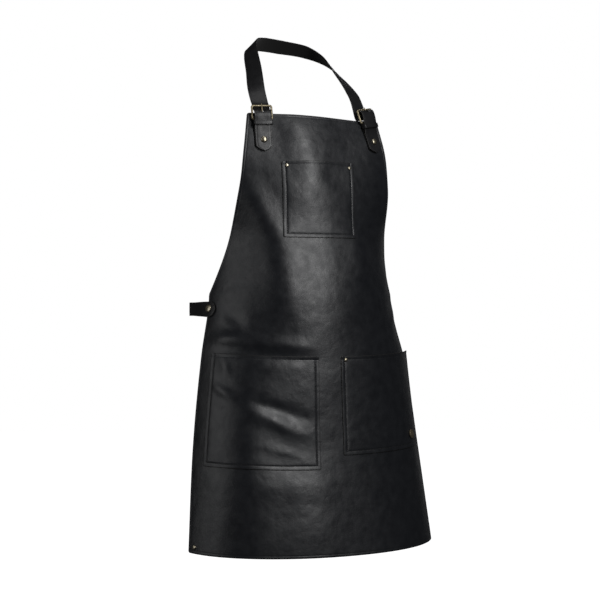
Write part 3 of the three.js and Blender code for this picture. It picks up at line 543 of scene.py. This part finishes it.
# Rivets: turned brass, each a domed head over the leather, a shank through it and a washer behind.
# Small ones hold the pockets' mouths and the hem's corner, large ones the waist straps.
SHANK_RADIUS = 1.5
WASHER_RADIUS = 3
WASHER_HEIGHT = 0.8
RIM_ROUND = 0.35
TURNED_SIDES = 40
DOME_STEPS = 9
ON_POCKET = GAP + POCKET_WALL
RIVETS = {
    "chest_pocket_rivet_right": {"across": -66.5, "drop": 95, "head": 7, "dome": 1.6, "under": ON_POCKET},
    "chest_pocket_rivet_left": {"across": 56.5, "drop": 97, "head": 7, "dome": 1.6, "under": ON_POCKET},
    "left_hip_pocket_rivet": {"across": 31, "drop": 449.5, "head": 7, "dome": 1.6, "under": ON_POCKET},
    "hem_rivet": {"across": -264.5, "drop": 788.5, "head": 8, "dome": 1.8, "under": 0},
}


def antique_brass(name, bright, dark, tarnish, roughness):
    """Brass, turned or bent, darkened with a chemical bath and then rubbed bright where hands reach it."""
    material, tree, place = new_material(name)
    stain = add_node(tree, "TexNoise", {"Vector": place, "Scale": 1 / 0.004, "Detail": 4})
    scratch = add_node(tree, "TexNoise", {"Vector": place, "Scale": 1 / 0.0006, "Detail": 3})
    share = add_node(tree, "MapRange", {0: stain.outputs[0], 1: 0.35, 2: 0.65, 3: 0, 4: tarnish})
    tone = add_node(tree, "Mix", {0: share.outputs[0], 6: linear(bright), 7: linear(dark)}, data_type="RGBA")
    dull = 1.5 * roughness
    gloss = add_node(tree, "MapRange", {0: stain.outputs[0], 1: 0.3, 2: 0.7, 3: roughness, 4: dull})
    dents = add_node(tree, "Bump", {"Height": scratch.outputs[0], "Distance": 0.000012, "Strength": 1})
    finish_material(tree, {
        "Base Color": tone.outputs[2],
        "Metallic": 1,
        "Roughness": gloss.outputs[0],
        "Normal": dents.outputs["Normal"],
    })
    return material


def leather_frame(across, drop, lean=0, yaw=0):
    """Frame that stands on the leather: its origin and its axes across, up the leather and outwards."""
    out = worn_normal(across, drop)
    level = worn_point(across + 1, drop) - worn_point(across - 1, drop)
    level = unit(level - out * np.dot(level, out))
    rise = np.cross(out, level)
    angle = math.radians(lean)
    turned = level * math.cos(angle) + rise * math.sin(angle)
    up = np.cross(out, turned)
    angle = math.radians(yaw)
    facing = out * math.cos(angle) + turned * math.sin(angle)
    axes = np.stack([np.cross(up, facing), up, facing])
    return leather_point(np.asarray(across), np.asarray(drop), np.asarray(0.0)), axes


def stand(frame_on_leather, local):
    """Points given across, up and outwards, placed in a frame that stands on the leather."""
    origin, axes = frame_on_leather
    return origin + np.asarray(local) @ axes


def turned_mesh(profile):
    """Round piece turned to a profile of radii and heights, which starts and ends near the axis."""
    angles = np.linspace(0, 2 * math.pi, TURNED_SIDES, endpoint=False)
    radius, height = np.array(profile, float).T
    points = np.stack([
        np.outer(radius, np.cos(angles)),
        np.outer(radius, np.sin(angles)),
        np.repeat(height[:, None], TURNED_SIDES, axis=1),
    ], axis=-1)
    index = np.arange(points.shape[0] * TURNED_SIDES).reshape(-1, TURNED_SIDES)
    beside = np.roll(index, -1, axis=1)
    faces = np.stack([index[:-1], beside[:-1], beside[1:], index[1:]], axis=-1).reshape(-1, 4).tolist()
    return points.reshape(-1, 3), faces + [index[0].tolist(), index[-1].tolist()]


def rivet_profile(head, dome, seat):
    """Washer, shank and domed head from the flesh side outwards."""
    radius = head / 2
    back = -PANEL_WALL - 2 * GAP
    profile = [
        (0.2, back - WASHER_HEIGHT),
        (WASHER_RADIUS - RIM_ROUND, back - WASHER_HEIGHT),
        (WASHER_RADIUS, back - WASHER_HEIGHT + RIM_ROUND),
        (WASHER_RADIUS, back),
        (SHANK_RADIUS, back),
        (SHANK_RADIUS, seat),
        (radius - RIM_ROUND, seat),
        (radius, seat + RIM_ROUND),
    ]
    for angle in np.linspace(0, math.pi / 2, DOME_STEPS + 1)[1:]:
        height = seat + RIM_ROUND + (dome - RIM_ROUND) * math.sin(angle)
        profile.append((max(radius * math.cos(angle), 0.05), height))
    return profile


polished_brass = [antique_brass("antique_brass_turned", "#cbc3ae", "#736a55", 0.7, 0.28)]


def set_rivet(name, spot, profile, materials):
    points, faces = turned_mesh(profile)
    piece = make_piece(name + "_head", stand(spot, points), faces, materials)
    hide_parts(name)


for name, rivet in RIVETS.items():
    spot = leather_frame(rivet["across"], rivet["drop"])
    profile = rivet_profile(rivet["head"], rivet["dome"], rivet["under"] + 2 * GAP)
    set_rivet(name, spot, profile, polished_brass)

# Pocket stud: a plain round cap of dull bronze with a raised rim, at the left hip pocket's outer edge.
STUD = {"across": 198, "drop": 597, "head": 17, "dome": 3}
STUD_RIM = 1.6
STUD_FIELD = 0.9
dull_bronze = [antique_brass("aged_bronze_cap", "#b5aa92", "#766c58", 1.0, 0.46)]
stud_radius = STUD["head"] / 2
stud_seat = ON_POCKET + 2 * GAP
stud_top = stud_seat + STUD["dome"]
stud_profile = rivet_profile(STUD["head"], STUD["dome"], stud_seat)[:7] + [
    (stud_radius, stud_seat + 2 * RIM_ROUND),
    (stud_radius, stud_top - 3 * RIM_ROUND),
    (stud_radius - RIM_ROUND, stud_top - 2 * RIM_ROUND),
    (stud_radius - STUD_RIM, stud_top - 2 * RIM_ROUND),
    (stud_radius - 1.5 * STUD_RIM, stud_top - STUD_FIELD),
    (stud_radius - 2 * STUD_RIM, stud_top - STUD_FIELD),
    (stud_radius / 2, stud_top - STUD_FIELD / 3),
    (stud_radius / 4, stud_top - STUD_FIELD / 8),
    (0.05, stud_top),
]
stud_spot = leather_frame(STUD["across"], STUD["drop"])
set_rivet("pocket_stud", stud_spot, stud_profile, dull_bronze)

# Buckle tabs: pointed strips of strap leather, each folded round a buckle's heel bar so that both layers
# lie on the bib, where one domed rivet holds them. The edges are creased and burnished.
TAB_WALL = 1.8
TABS = {
    "right": {"across": -105.5, "drop": 48, "lean": 1.5, "yaw": 0},
    "left": {"across": 115, "drop": 41.5, "lean": 13, "yaw": 8},
}
TAB_WIDTH = 31.6
TAB_TAIL = -21
TAB_SHOULDER = -11
TAB_POINT = 1.35
TAB_JOIN = 12
TAB_SEAT = 0.8
TAB_RIVET = {"head": 12, "dome": 3.2}
WIRE_RADIUS = 1.9
HEEL_UP = 38
FOLD_INNER = WIRE_RADIUS + GAP
FOLD_OUTER = FOLD_INNER + TAB_WALL
BUCKLE_OUT = TAB_SEAT + FOLD_OUTER
TAB_FLAT_OUT = TAB_SEAT + 2 * TAB_WALL + GAP
TAB_SLOPE = (BUCKLE_OUT + FOLD_OUTER - TAB_FLAT_OUT) / (HEEL_UP - TAB_JOIN)
TAB_STEP = 1.2
SLOT_WIDTH = 3.6
EYE_SLOT = {"ups": (HEEL_UP - 4, HEEL_UP + 8), "outs": (BUCKLE_OUT - 8, BUCKLE_OUT + 8)}
STRIP_LINES = [0, 0.1, 0.3, 0.6, 1.8, 2.3, 2.7, 3.1, 3.6, 6]
STRIP_CREASE = 2.7
STRIP_CREASE_WIDTH = 0.55
STRIP_CREASE_DEPTH = 0.2


def tab_front(up):
    return BUCKLE_OUT + FOLD_OUTER - TAB_SLOPE * (HEEL_UP - up)


def sweep(centres, a_axes, b_axes, sections, closed):
    """Bar swept through centres; each section holds points along the two axes there."""
    points = centres[:, None] + sections[..., :1] * a_axes[:, None] + sections[..., 1:] * b_axes[:, None]
    count, sides = sections.shape[:2]
    index = np.arange(count * sides).reshape(count, sides)
    here = index if closed else index[:-1]
    after = np.roll(index, -1, axis=0) if closed else index[1:]
    quads = np.stack([here, np.roll(here, -1, axis=1), np.roll(after, -1, axis=1), after], axis=-1)
    faces = quads.reshape(-1, 4).tolist()
    strips = np.tile(np.arange(sides), len(here))
    if not closed:
        faces += [index[0].tolist(), index[-1].tolist()]
    return points.reshape(-1, 3), faces, strips


def strip_sections(half, wall):
    """Sections of a strap with rounded edges and creases on its grain side, for each half width."""
    lines = np.array(STRIP_LINES)
    round_edge = rounding(lines, 0.42 * wall)
    crease = groove(lines, STRIP_CREASE, STRIP_CREASE_WIDTH, STRIP_CREASE_DEPTH)
    scale = np.minimum(1, half / (1.5 * lines[-1]))[:, None]
    reach = half[:, None] - lines * scale
    grain = np.broadcast_to(wall / 2 - round_edge - crease, reach.shape)
    flesh = np.broadcast_to(round_edge - wall / 2, reach.shape)
    outer = np.stack([np.concatenate([-reach, reach[:, ::-1]], axis=1),
                      np.concatenate([grain, grain[:, ::-1]], axis=1)], axis=-1)
    inner = np.stack([np.concatenate([reach, -reach[:, ::-1]], axis=1),
                      np.concatenate([flesh, flesh[:, ::-1]], axis=1)], axis=-1)
    return np.concatenate([outer, inner], axis=1)


def make_strap(name, centres, across, normal, half, wall, materials, closed=False):
    """Strap leather along centres, with its grain side towards the normal."""
    sections = strip_sections(half, wall)
    points, faces, strips = sweep(centres, across, normal, sections, closed)
    lines = len(STRIP_LINES)
    place = strips % (2 * lines)
    burnished = (place < 3) | (place >= 2 * lines - 4)
    grain, flesh, cut = 0, 1, 2
    used = np.where(burnished, cut, np.where(strips < 2 * lines, grain, flesh))
    if not closed:
        used = np.concatenate([used, [cut, cut]])
    return make_piece(name, points, faces, materials, used)


strap_leather = [
    waxed_full_grain_leather("waxed_strap_leather", "#19191b", "#262628"),
    leather_flesh_side("slicked_strap_flesh_side", "#121212", "#1a1919", 0.00006),
    black_leather[2],
]


def tab_route():
    """Middle of the tab's wall, up and outwards: up the back layer, round the bar and down the front."""
    middle = (FOLD_INNER + FOLD_OUTER) / 2
    back = [(up, TAB_SEAT + TAB_WALL / 2) for up in np.arange(TAB_TAIL, HEEL_UP, TAB_STEP)]
    turn = np.radians(np.linspace(-90, 90, 13))
    fold = [(HEEL_UP + middle * math.cos(t), BUCKLE_OUT + middle * math.sin(t)) for t in turn]
    front_ups = np.arange(HEEL_UP, TAB_TAIL, -TAB_STEP)[1:]
    front = [(up, max(tab_front(up), TAB_FLAT_OUT) - TAB_WALL / 2) for up in front_ups]
    return np.array(back + fold + front + [(TAB_TAIL, TAB_FLAT_OUT - TAB_WALL / 2)])


def tab_half(up):
    """Half of the tab's width, which ends in a blunt point."""
    share = np.clip((up - TAB_TAIL) / (TAB_SHOULDER - TAB_TAIL), 0.02, 1)
    return TAB_WIDTH / 2 * (1 - (1 - share) ** TAB_POINT) ** (1 / TAB_POINT)


def cut_slot(piece, spot, ups, outs):
    """Cuts a slot for a buckle's prong through a piece, with raw leather on its walls."""
    wide = SLOT_WIDTH / 2
    corners = [(a, up, out) for a in (-wide, wide) for up in ups for out in outs]
    sides = [(0, 1, 3, 2), (4, 6, 7, 5), (0, 4, 5, 1), (2, 3, 7, 6), (0, 2, 6, 4), (1, 5, 7, 3)]
    mesh = bpy.data.meshes.new("slot")
    mesh.from_pydata((stand(spot, corners) / 1000).tolist(), [], sides)
    for material in piece.data.materials:
        mesh.materials.append(material)
    cut = 2
    mesh.polygons.foreach_set("material_index", np.full(len(sides), cut, np.int32))
    cutter = bpy.data.objects.new("slot", mesh)
    bpy.context.scene.collection.objects.link(cutter)
    slot = piece.modifiers.new("slot", "BOOLEAN")
    slot.object = cutter
    slot.operation = "DIFFERENCE"
    slot.solver = "EXACT"
    whole = piece.data
    piece.data = bpy.data.meshes.new_from_object(piece.evaluated_get(bpy.context.evaluated_depsgraph_get()))
    piece.data.name = piece.name
    piece.modifiers.clear()
    bpy.data.objects.remove(cutter)
    bpy.data.meshes.remove(mesh)
    bpy.data.meshes.remove(whole)


tab_spots = {side: leather_frame(**tab) for side, tab in TABS.items()}
for side, spot in tab_spots.items():
    route = tab_route()
    slope = unit(np.gradient(route, axis=0))
    facing = np.stack([slope[:, 1], -slope[:, 0]], axis=1)
    blank = np.zeros(len(route))
    centres = stand(spot, np.stack([blank, route[:, 0], route[:, 1]], axis=1))
    normal = np.stack([blank, facing[:, 0], facing[:, 1]], axis=1) @ spot[1]
    across = np.repeat(spot[1][:1], len(route), axis=0)
    half = tab_half(route[:, 0])
    tab = make_strap(f"{side}_tab_leather", centres, across, normal, half, TAB_WALL, strap_leather)
    cut_slot(tab, spot, **EYE_SLOT)
    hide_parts(f"{side}_buckle_tab")
    profile = rivet_profile(TAB_RIVET["head"], TAB_RIVET["dome"], TAB_FLAT_OUT + GAP)
    set_rivet(f"{side}_tab_rivet", spot, profile, polished_brass)

# Keepers: narrow loops of thin strap leather round each tab, which hold down the strap's end.
KEEPER_WALL = 1.2
KEEPER_UP = 26
KEEPER_HEIGHT = 8
KEEPER_CORNER = 1.6
CORNER_STEPS = 8
STRAP_WALL = 2.2


def rounded_loop(half_wide, low, high, radius, steps):
    """Points and outward directions round a rectangle with round corners."""
    middle = (low + high) / 2
    half_high = (high - low) / 2
    points, outward = [], []
    for corner in range(4):
        sign_wide = 1 if corner in (0, 3) else -1
        sign_high = 1 if corner < 2 else -1
        centre = np.array([sign_wide * (half_wide - radius), middle + sign_high * (half_high - radius)])
        for i in range(steps + 1):
            angle = (corner + i / steps) * math.pi / 2
            direction = np.array([math.cos(angle), math.sin(angle)])
            points.append(centre + radius * direction)
            outward.append(direction)
    return np.array(points), np.array(outward)


keeper_low = TAB_SEAT + TAB_WALL + GAP + KEEPER_WALL / 2
keeper_high = tab_front(KEEPER_UP + KEEPER_HEIGHT) + STRAP_WALL + 3 * GAP + KEEPER_WALL / 2
for side, spot in tab_spots.items():
    loop, outward = rounded_loop(
        TAB_WIDTH / 2 + GAP + KEEPER_WALL / 2, keeper_low, keeper_high, KEEPER_CORNER, CORNER_STEPS
    )
    up = np.full(len(loop), KEEPER_UP + KEEPER_HEIGHT / 2)
    centres = stand(spot, np.stack([loop[:, 0], up, loop[:, 1]], axis=1))
    normal = np.stack([outward[:, 0], 0 * up, outward[:, 1]], axis=1) @ spot[1]
    along = np.repeat(spot[1][1:2], len(loop), axis=0)
    half = np.full(len(loop), KEEPER_HEIGHT / 2)
    keeper = make_strap(
        f"{side}_keeper_leather", centres, along, normal, half, KEEPER_WALL, strap_leather, closed=True
    )
    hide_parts(f"{side}_keeper")

# Buckles: brass wire bent to a rounded rectangle, with a tapered prong that turns on the heel bar, goes
# through the strap and rests on the top bar.
TOP_BAR_UP = 63
BUCKLE_WIDTH = 40
BUCKLE_CORNER = 3
WIRE_SIDES = 20
PRONG_RADIUS = 1.2
PRONG_RING = 3.4
PRONG_TIP_UP = 66.5
PRONG_STEPS = 16


def circle_section(radii, sides):
    angles = np.linspace(0, 2 * math.pi, sides, endpoint=False)
    return np.asarray(radii)[:, None, None] * np.stack([np.cos(angles), np.sin(angles)], axis=-1)


def curve_frames(points, side_axis):
    """Axes across a curve: one along a fixed side, the other square to the curve."""
    along = unit(np.gradient(points, axis=0))
    side = unit(side_axis - along * np.sum(along * side_axis, axis=1)[:, None])
    return side, np.cross(along, side)


bent_brass = [antique_brass("antique_brass_wire", "#bdb296", "#75694f", 0.6, 0.4)]
for side, spot in tab_spots.items():
    loop, outward = rounded_loop(
        BUCKLE_WIDTH / 2 - WIRE_RADIUS, HEEL_UP, TOP_BAR_UP, BUCKLE_CORNER, CORNER_STEPS
    )
    out = np.full(len(loop), BUCKLE_OUT)
    centres = stand(spot, np.stack([loop[:, 0], loop[:, 1], out], axis=1))
    radial = np.stack([outward[:, 0], outward[:, 1], 0 * out], axis=1) @ spot[1]
    facing = np.repeat(spot[1][2:3], len(loop), axis=0)
    section = circle_section(np.full(len(loop), WIRE_RADIUS), WIRE_SIDES)
    points, faces, _ = sweep(centres, facing, radial, section, True)
    buckle = make_piece(f"{side}_buckle_frame", points, faces, bent_brass)
    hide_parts(f"{side}_buckle")

    turns = np.radians(np.linspace(-200, 60, 14))
    eye = (FOLD_INNER + PRONG_RING) / 2
    rest_out = BUCKLE_OUT + WIRE_RADIUS + GAP + PRONG_RADIUS
    bar_share = np.linspace(0, 1, PRONG_STEPS)[1:]
    start = np.array([HEEL_UP + eye * math.cos(turns[-1]), BUCKLE_OUT + eye * math.sin(turns[-1])])
    end = np.array([PRONG_TIP_UP, rest_out - 0.2])
    bar = start + (end - start) * bar_share[:, None]
    curl = np.stack([HEEL_UP + eye * np.cos(turns), BUCKLE_OUT + eye * np.sin(turns)], axis=1)
    line = np.concatenate([curl, bar])
    radii = np.concatenate([
        np.full(len(curl), 0.5 * (PRONG_RING - FOLD_INNER)),
        PRONG_RADIUS * (1 - 0.35 * bar_share**2),
    ])
    radii[-1] *= 0.6
    centres = stand(spot, np.stack([0 * line[:, 0], line[:, 0], line[:, 1]], axis=1))
    side_axis, square = curve_frames(centres, spot[1][0])
    points, faces, _ = sweep(centres, side_axis, square, circle_section(radii, WIRE_SIDES), False)
    prong = make_piece(f"{side}_buckle_prong", points, faces, bent_brass)
    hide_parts(f"{side}_prong")

# Neck strap: one strap of thick leather in a loop from buckle to buckle, twisting as it goes.
# Each end comes forward through its buckle, over the heel bar and down under the keeper.
NECK_WIDTH = 31.5
STRAP_END_UP = 27.5
STRAP_EASE = 0.1
STRAP_ROUTES = {
    "right": {
        "up": [38.5, 43, 47.5, 51.3, 54, 56.2, 59.2, 63, 71],
        "out": [10.9, 11.9, 11.9, 10.2, 7, 4, 1.8, 0.8, -5.2],
    },
    "left": {
        "up": [38.5, 43, 48, 53.5, 57.8, 60.2, 59.6, 56.8, 53.2, 47.4, 47.2, 53, 66],
        "out": [10.7, 11.6, 12.2, 12.2, 11.2, 8.6, 5.8, 3.2, 1, -3, -7, -9, -8],
    },
}
NECK = {
    "x": [-104.5, -93, -77, -46, 0, 47, 73.5, 86, 95.5],
    "y": [-146, -102, -44, -13, 0.78, -18, -48, -89, -131],
    "z": [-110, -67, -9, 1, 0.78, -9, -29.5, -64, -104],
    "yaw": [17, 48, 87, 133, 181, 231, 280, 318, 340],
    "lean": [24, 35, 37, 40, 45, 45, 42, 37, 24],
}
NECK_STEPS = 14
PRONG_SLOTS = {"right": (49.8, 57), "left": (56, 62.4)}
PRONG_SLOT_OUTS = (BUCKLE_OUT, BUCKLE_OUT + 12)


def even_curve(stations, steps):
    """Smooth curve through stations with no loops or overshoot, and its directions."""
    ends = [2 * stations[0] - stations[1], *stations, 2 * stations[-1] - stations[-2]]
    points, along = [], []
    k = np.arange(steps)[:, None] / steps
    for p0, p1, p2, p3 in zip(ends, ends[1:], ends[2:], ends[3:]):
        d0, d1, d2 = (np.linalg.norm(b - a) ** 0.5 for a, b in ((p0, p1), (p1, p2), (p2, p3)))
        leave = ((p1 - p0) / d0 - (p2 - p0) / (d0 + d1) + (p2 - p1) / d1) * d1
        arrive = ((p2 - p1) / d1 - (p3 - p1) / (d1 + d2) + (p3 - p2) / d2) * d1
        c2 = 3 * (p2 - p1) - 2 * leave - arrive
        c3 = 2 * (p1 - p2) + leave + arrive
        points.append(p1 + leave * k + c2 * k**2 + c3 * k**3)
        along.append(leave + 2 * c2 * k + 3 * c3 * k**2)
    points.append(np.array([stations[-1]]))
    along.append(np.array([along[-1][-1]]))
    return np.concatenate(points), unit(np.concatenate(along))


def spread(values, steps):
    """Values at stations, spread evenly over the steps between them."""
    values = np.asarray(values, float)
    places = np.linspace(0, len(values) - 1, (len(values) - 1) * steps + 1)
    return np.stack([np.interp(places, np.arange(len(values)), column) for column in values.T], axis=1)


def through_buckle(side):
    """Stations and facing of the strap, from its end under the keeper up and back through the buckle."""
    lie = GAP + STRAP_WALL / 2 + STRAP_EASE
    under_keeper = np.array([STRAP_END_UP, KEEPER_UP + KEEPER_HEIGHT / 2, KEEPER_UP + KEEPER_HEIGHT])
    up = np.concatenate([under_keeper, STRAP_ROUTES[side]["up"]])
    out = np.concatenate([tab_front(under_keeper) + lie, STRAP_ROUTES[side]["out"]])
    route = np.stack([0 * up, up, out], axis=1)
    _, rise, reach = unit(np.gradient(route, axis=0)).T
    facing = np.stack([0 * rise, -reach, rise], axis=1)
    return stand(tab_spots[side], route), unit(facing @ tab_spots[side][1])


neck_yaw = np.radians(NECK["yaw"])
neck_lean = np.radians(NECK["lean"])
neck_faces = np.stack([
    -np.cos(neck_lean) * np.sin(neck_yaw),
    -np.cos(neck_lean) * np.cos(neck_yaw),
    np.sin(neck_lean),
], axis=1)
neck_points = np.stack([NECK["x"], NECK["y"], NECK["z"]], axis=1)
right_points, right_faces = through_buckle("right")
left_points, left_faces = through_buckle("left")
neck_stations = np.concatenate([right_points, neck_points, left_points[::-1]])
station_faces = np.concatenate([right_faces, neck_faces, left_faces[::-1]])
centres, along = even_curve(list(neck_stations), NECK_STEPS)
facing = spread(station_faces, NECK_STEPS)
facing = unit(facing - along * np.sum(facing * along, axis=1)[:, None])
half = np.full(len(centres), NECK_WIDTH / 2)
across = np.cross(facing, along)
neck_strap = make_strap(
    "neck_strap_leather", centres, across, facing, half, STRAP_WALL, strap_leather
)
for side, spot in tab_spots.items():
    cut_slot(neck_strap, spot, PRONG_SLOTS[side], PRONG_SLOT_OUTS)
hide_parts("neck_strap")

# Waist straps: one at each waist corner, with a rounded end held by a large rivet on the panel.
# They narrow as they go round the sides, and their ends meet in a clasp behind.
WAIST_STRAP_DROP = 361
WAIST_START = 217
WAIST_WIDTH = 30
WAIST_NARROW = 25
WAIST_TAPER = 70
WAIST_SEAT = 1.6
SIDE_HEADING = math.radians(111)
BACK_RADIUS = 85
BACK_HEADING = math.pi
BACK_Y = 39.4
WAIST_STEP = 4
WAIST_EDGE_STEP = 9
WAIST_RIVET = {"across": 232.5, "drop": 359.5, "head": 15, "dome": 2.6}
CLASP_HALF = 22
CLASP_STRAP_END = 8


def waist_stations(side):
    """Places and facing of a waist strap, from its end on the panel round to the clasp."""
    lie = WAIST_SEAT + STRAP_WALL / 2
    edge = float(half_width(np.array(WAIST_STRAP_DROP)))
    round_end = WAIST_START + np.array([0.1, 0.4, 1, 2, 3.5, 5.5, 8, 11, 15])
    reach = side * np.array([*round_end, edge, edge + WAIST_EDGE_STEP])
    points = list(leather_point(reach, np.full(reach.shape, WAIST_STRAP_DROP), np.full(reach.shape, lie)))
    faces = list(worn_normal(reach, np.full(reach.shape, WAIST_STRAP_DROP)))
    last = points[-1].copy()
    tip = math.asin(faces[-1][2])
    heading = math.atan2(last[1] - points[-2][1], side * (last[0] - points[-2][0]))
    back_turn = BACK_RADIUS * (math.cos(SIDE_HEADING) - math.cos(BACK_HEADING))
    side_radius = (BACK_Y - last[1] - back_turn) / (math.cos(heading) - math.cos(SIDE_HEADING))
    run = 0
    for radius, end in ((side_radius, SIDE_HEADING), (BACK_RADIUS, BACK_HEADING)):
        steps = math.ceil(radius * (end - heading) / WAIST_STEP)
        turn = (end - heading) / steps
        chord = 2 * radius * math.sin(turn / 2)
        for _ in range(steps):
            middle = heading + turn / 2
            last = last + chord * np.array([side * math.cos(middle), math.sin(middle), 0])
            heading += turn
            run += chord
            fade = math.tan(tip * max(1 - run / WAIST_TAPER, 0))
            points.append(last)
            faces.append(unit(np.array([side * math.sin(heading), -math.cos(heading), fade])))
    for x in (2 * CLASP_HALF, CLASP_STRAP_END):
        points.append(np.array([side * x, last[1], last[2]]))
        faces.append(faces[-1])
    return np.array(points), np.array(faces)


def waist_half(points):
    """Half of the strap's width: a rounded end, then a taper."""
    run = 0.1 + np.concatenate([[0], np.cumsum(np.linalg.norm(np.diff(points, axis=0), axis=1))])
    full = np.interp(run, [0, WAIST_TAPER], [WAIST_WIDTH / 2, WAIST_NARROW / 2])
    return full * np.sqrt(1 - np.clip(1 - run / full, 0, None) ** 2)


waist_ends = []
for word, side in (("right", -1), ("left", 1)):
    points, facing = waist_stations(side)
    along = unit(np.gradient(points, axis=0))
    facing = unit(facing - along * np.sum(facing * along, axis=1)[:, None])
    across = np.cross(facing, along)
    half = waist_half(points)
    strap = make_strap(
        f"waist_strap_{word}_leather", points, across, facing, half, STRAP_WALL, strap_leather
    )
    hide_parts(f"waist_strap_{word}")
    spot = leather_frame(side * WAIST_RIVET["across"], WAIST_RIVET["drop"])
    profile = rivet_profile(WAIST_RIVET["head"], WAIST_RIVET["dome"], WAIST_SEAT + STRAP_WALL + GAP)
    set_rivet(f"waist_rivet_{word}", spot, profile, polished_brass)
    waist_ends.append(points[-1])

# Waist clasp: a plain brass sleeve at the back, bent from sheet, that holds both straps' ends.
CLASP_WALL = 1.5
CLASP_CORNER = 2
clasp_centre = (waist_ends[0] + waist_ends[1]) / 2
clasp_high = WAIST_NARROW / 2 + GAP + CLASP_WALL / 2
clasp_deep = STRAP_WALL / 2 + GAP + CLASP_WALL / 2
loop, outward = rounded_loop(clasp_deep, -clasp_high, clasp_high, CLASP_CORNER, CORNER_STEPS)
centres = clasp_centre + np.stack([0 * loop[:, 0], loop[:, 0], loop[:, 1]], axis=1)
normal = np.stack([0 * loop[:, 0], outward[:, 0], outward[:, 1]], axis=1)
along = np.repeat([[1.0, 0, 0]], len(loop), axis=0)
sections = strip_sections(np.full(len(loop), float(CLASP_HALF)), CLASP_WALL)
points, faces, _ = sweep(centres, along, normal, sections, True)
clasp = make_piece("waist_clasp_sleeve", points, faces, bent_brass)
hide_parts("waist_clasp")

# Studio: a plain pale floor well below the hem, a tall soft light in front to the apron's left, weaker
# ones at the sides, above and behind, and a camera to the apron's right at the height of its middle.
# The floor and surround look white to the camera alone, so that the leather keeps dark reflections.
FLOOR_Z = -1.47
FLOOR_RADIUS = 9
CAMERA_AZIMUTH = 23.36
CAMERA_DISTANCE = 2.72
CAMERA_AIM = (0, -0.198, -0.5083)
LENS_MM = 89.5
SENSOR_MM = 36
FRAME_SHIFT = (-0.034, 0.015)
LIGHTS = {
    "name": ["key_softbox", "fill_softbox", "rim_softbox", "top_softbox", "back_softbox"],
    "azimuth": [14, -85, 125, 0, 157],
    "elevation": [25, 10, 10, 75, 33],
    "distance": [2.2, 2.4, 2.0, 1.8, 2.4],
    "width": [0.45, 1.5, 0.5, 1.2, 0.6],
    "height": [1.5, 1.8, 1.8, 0.8, 0.9],
    "watts": [23, 9, 0.5, 3, 15],
}


def matt_studio_floor(name, dark, light):
    """Painted studio floor: matt and nearly white, with a faint roller texture of 5 mm."""
    material, tree, place = new_material(name)
    roller = add_node(tree, "TexNoise", {"Vector": place, "Scale": 1 / 0.005, "Detail": 2})
    cast = add_node(tree, "TexNoise", {"Vector": place, "Scale": 1 / 0.6, "Detail": 1})
    tone = add_node(tree, "Mix", {0: cast.outputs[0], 6: linear(dark), 7: linear(light)}, data_type="RGBA")
    paint = add_node(tree, "Bump", {"Height": roller.outputs[0], "Distance": 0.0002, "Strength": 1})
    finish_material(tree, {
        "Base Color": tone.outputs[2],
        "Roughness": 0.9,
        "Normal": paint.outputs["Normal"],
        "Emission Color": tone.outputs[2],
        "Emission Strength": 1.08,
    })
    return material


floor_mesh = bpy.data.meshes.new("studio_floor")
floor_angles = np.linspace(0, 2 * math.pi, 96, endpoint=False)
floor_ring = [(FLOOR_RADIUS * math.cos(a), FLOOR_RADIUS * math.sin(a), FLOOR_Z) for a in floor_angles]
floor_mesh.from_pydata(floor_ring, [], [list(range(len(floor_ring)))])
floor_mesh.materials.append(matt_studio_floor("matt_studio_floor", "#f6f6f6", "#fdfdfd"))
floor = bpy.data.objects.new("studio_floor", floor_mesh)
bpy.context.scene.collection.objects.link(floor)
floor.visible_glossy = False
floor.visible_diffuse = False


def direction(azimuth, elevation):
    """Unit vector from the apron, with azimuth turning from the front to the apron's left."""
    turn, rise = math.radians(azimuth), math.radians(elevation)
    return np.array([math.sin(turn) * math.cos(rise), -math.cos(turn) * math.cos(rise), math.sin(rise)])


for name, azimuth, elevation, distance, width, height, watts in zip(*LIGHTS.values()):
    light = bpy.data.lights.new(name, "AREA")
    light.shape = "RECTANGLE"
    light.size = width
    light.size_y = height
    light.energy = watts
    lamp = bpy.data.objects.new(name, light)
    lamp.location = np.array(CAMERA_AIM) + distance * direction(azimuth, elevation)
    lamp.rotation_euler = (math.radians(90 - elevation), 0, math.radians(azimuth))
    lamp.visible_camera = False
    bpy.context.scene.collection.objects.link(lamp)

world = bpy.data.worlds.new("studio_surround")
world.use_nodes = True
world.node_tree.nodes.clear()
seen = add_node(world.node_tree, "LightPath", {}).outputs["Is Camera Ray"]
wall = add_node(world.node_tree, "MapRange", {0: seen, 3: 0.022, 4: 1.0})
surround = add_node(world.node_tree, "Background", {"Color": (1, 1, 1, 1), "Strength": wall.outputs[0]})
add_node(world.node_tree, "OutputWorld", {"Surface": surround.outputs[0]})
bpy.context.scene.world = world
bpy.context.scene.view_settings.view_transform = "Standard"

camera = bpy.data.cameras.new("photo_camera")
camera.lens = LENS_MM
camera.sensor_width = SENSOR_MM
camera.shift_x, camera.shift_y = FRAME_SHIFT
viewpoint = bpy.data.objects.new("photo_camera", camera)
viewpoint.location = np.array(CAMERA_AIM) + CAMERA_DISTANCE * direction(-CAMERA_AZIMUTH, 0)
viewpoint.rotation_euler = (math.radians(90), 0, math.radians(-CAMERA_AZIMUTH))
bpy.context.scene.collection.objects.link(viewpoint)
bpy.context.scene.camera = viewpoint
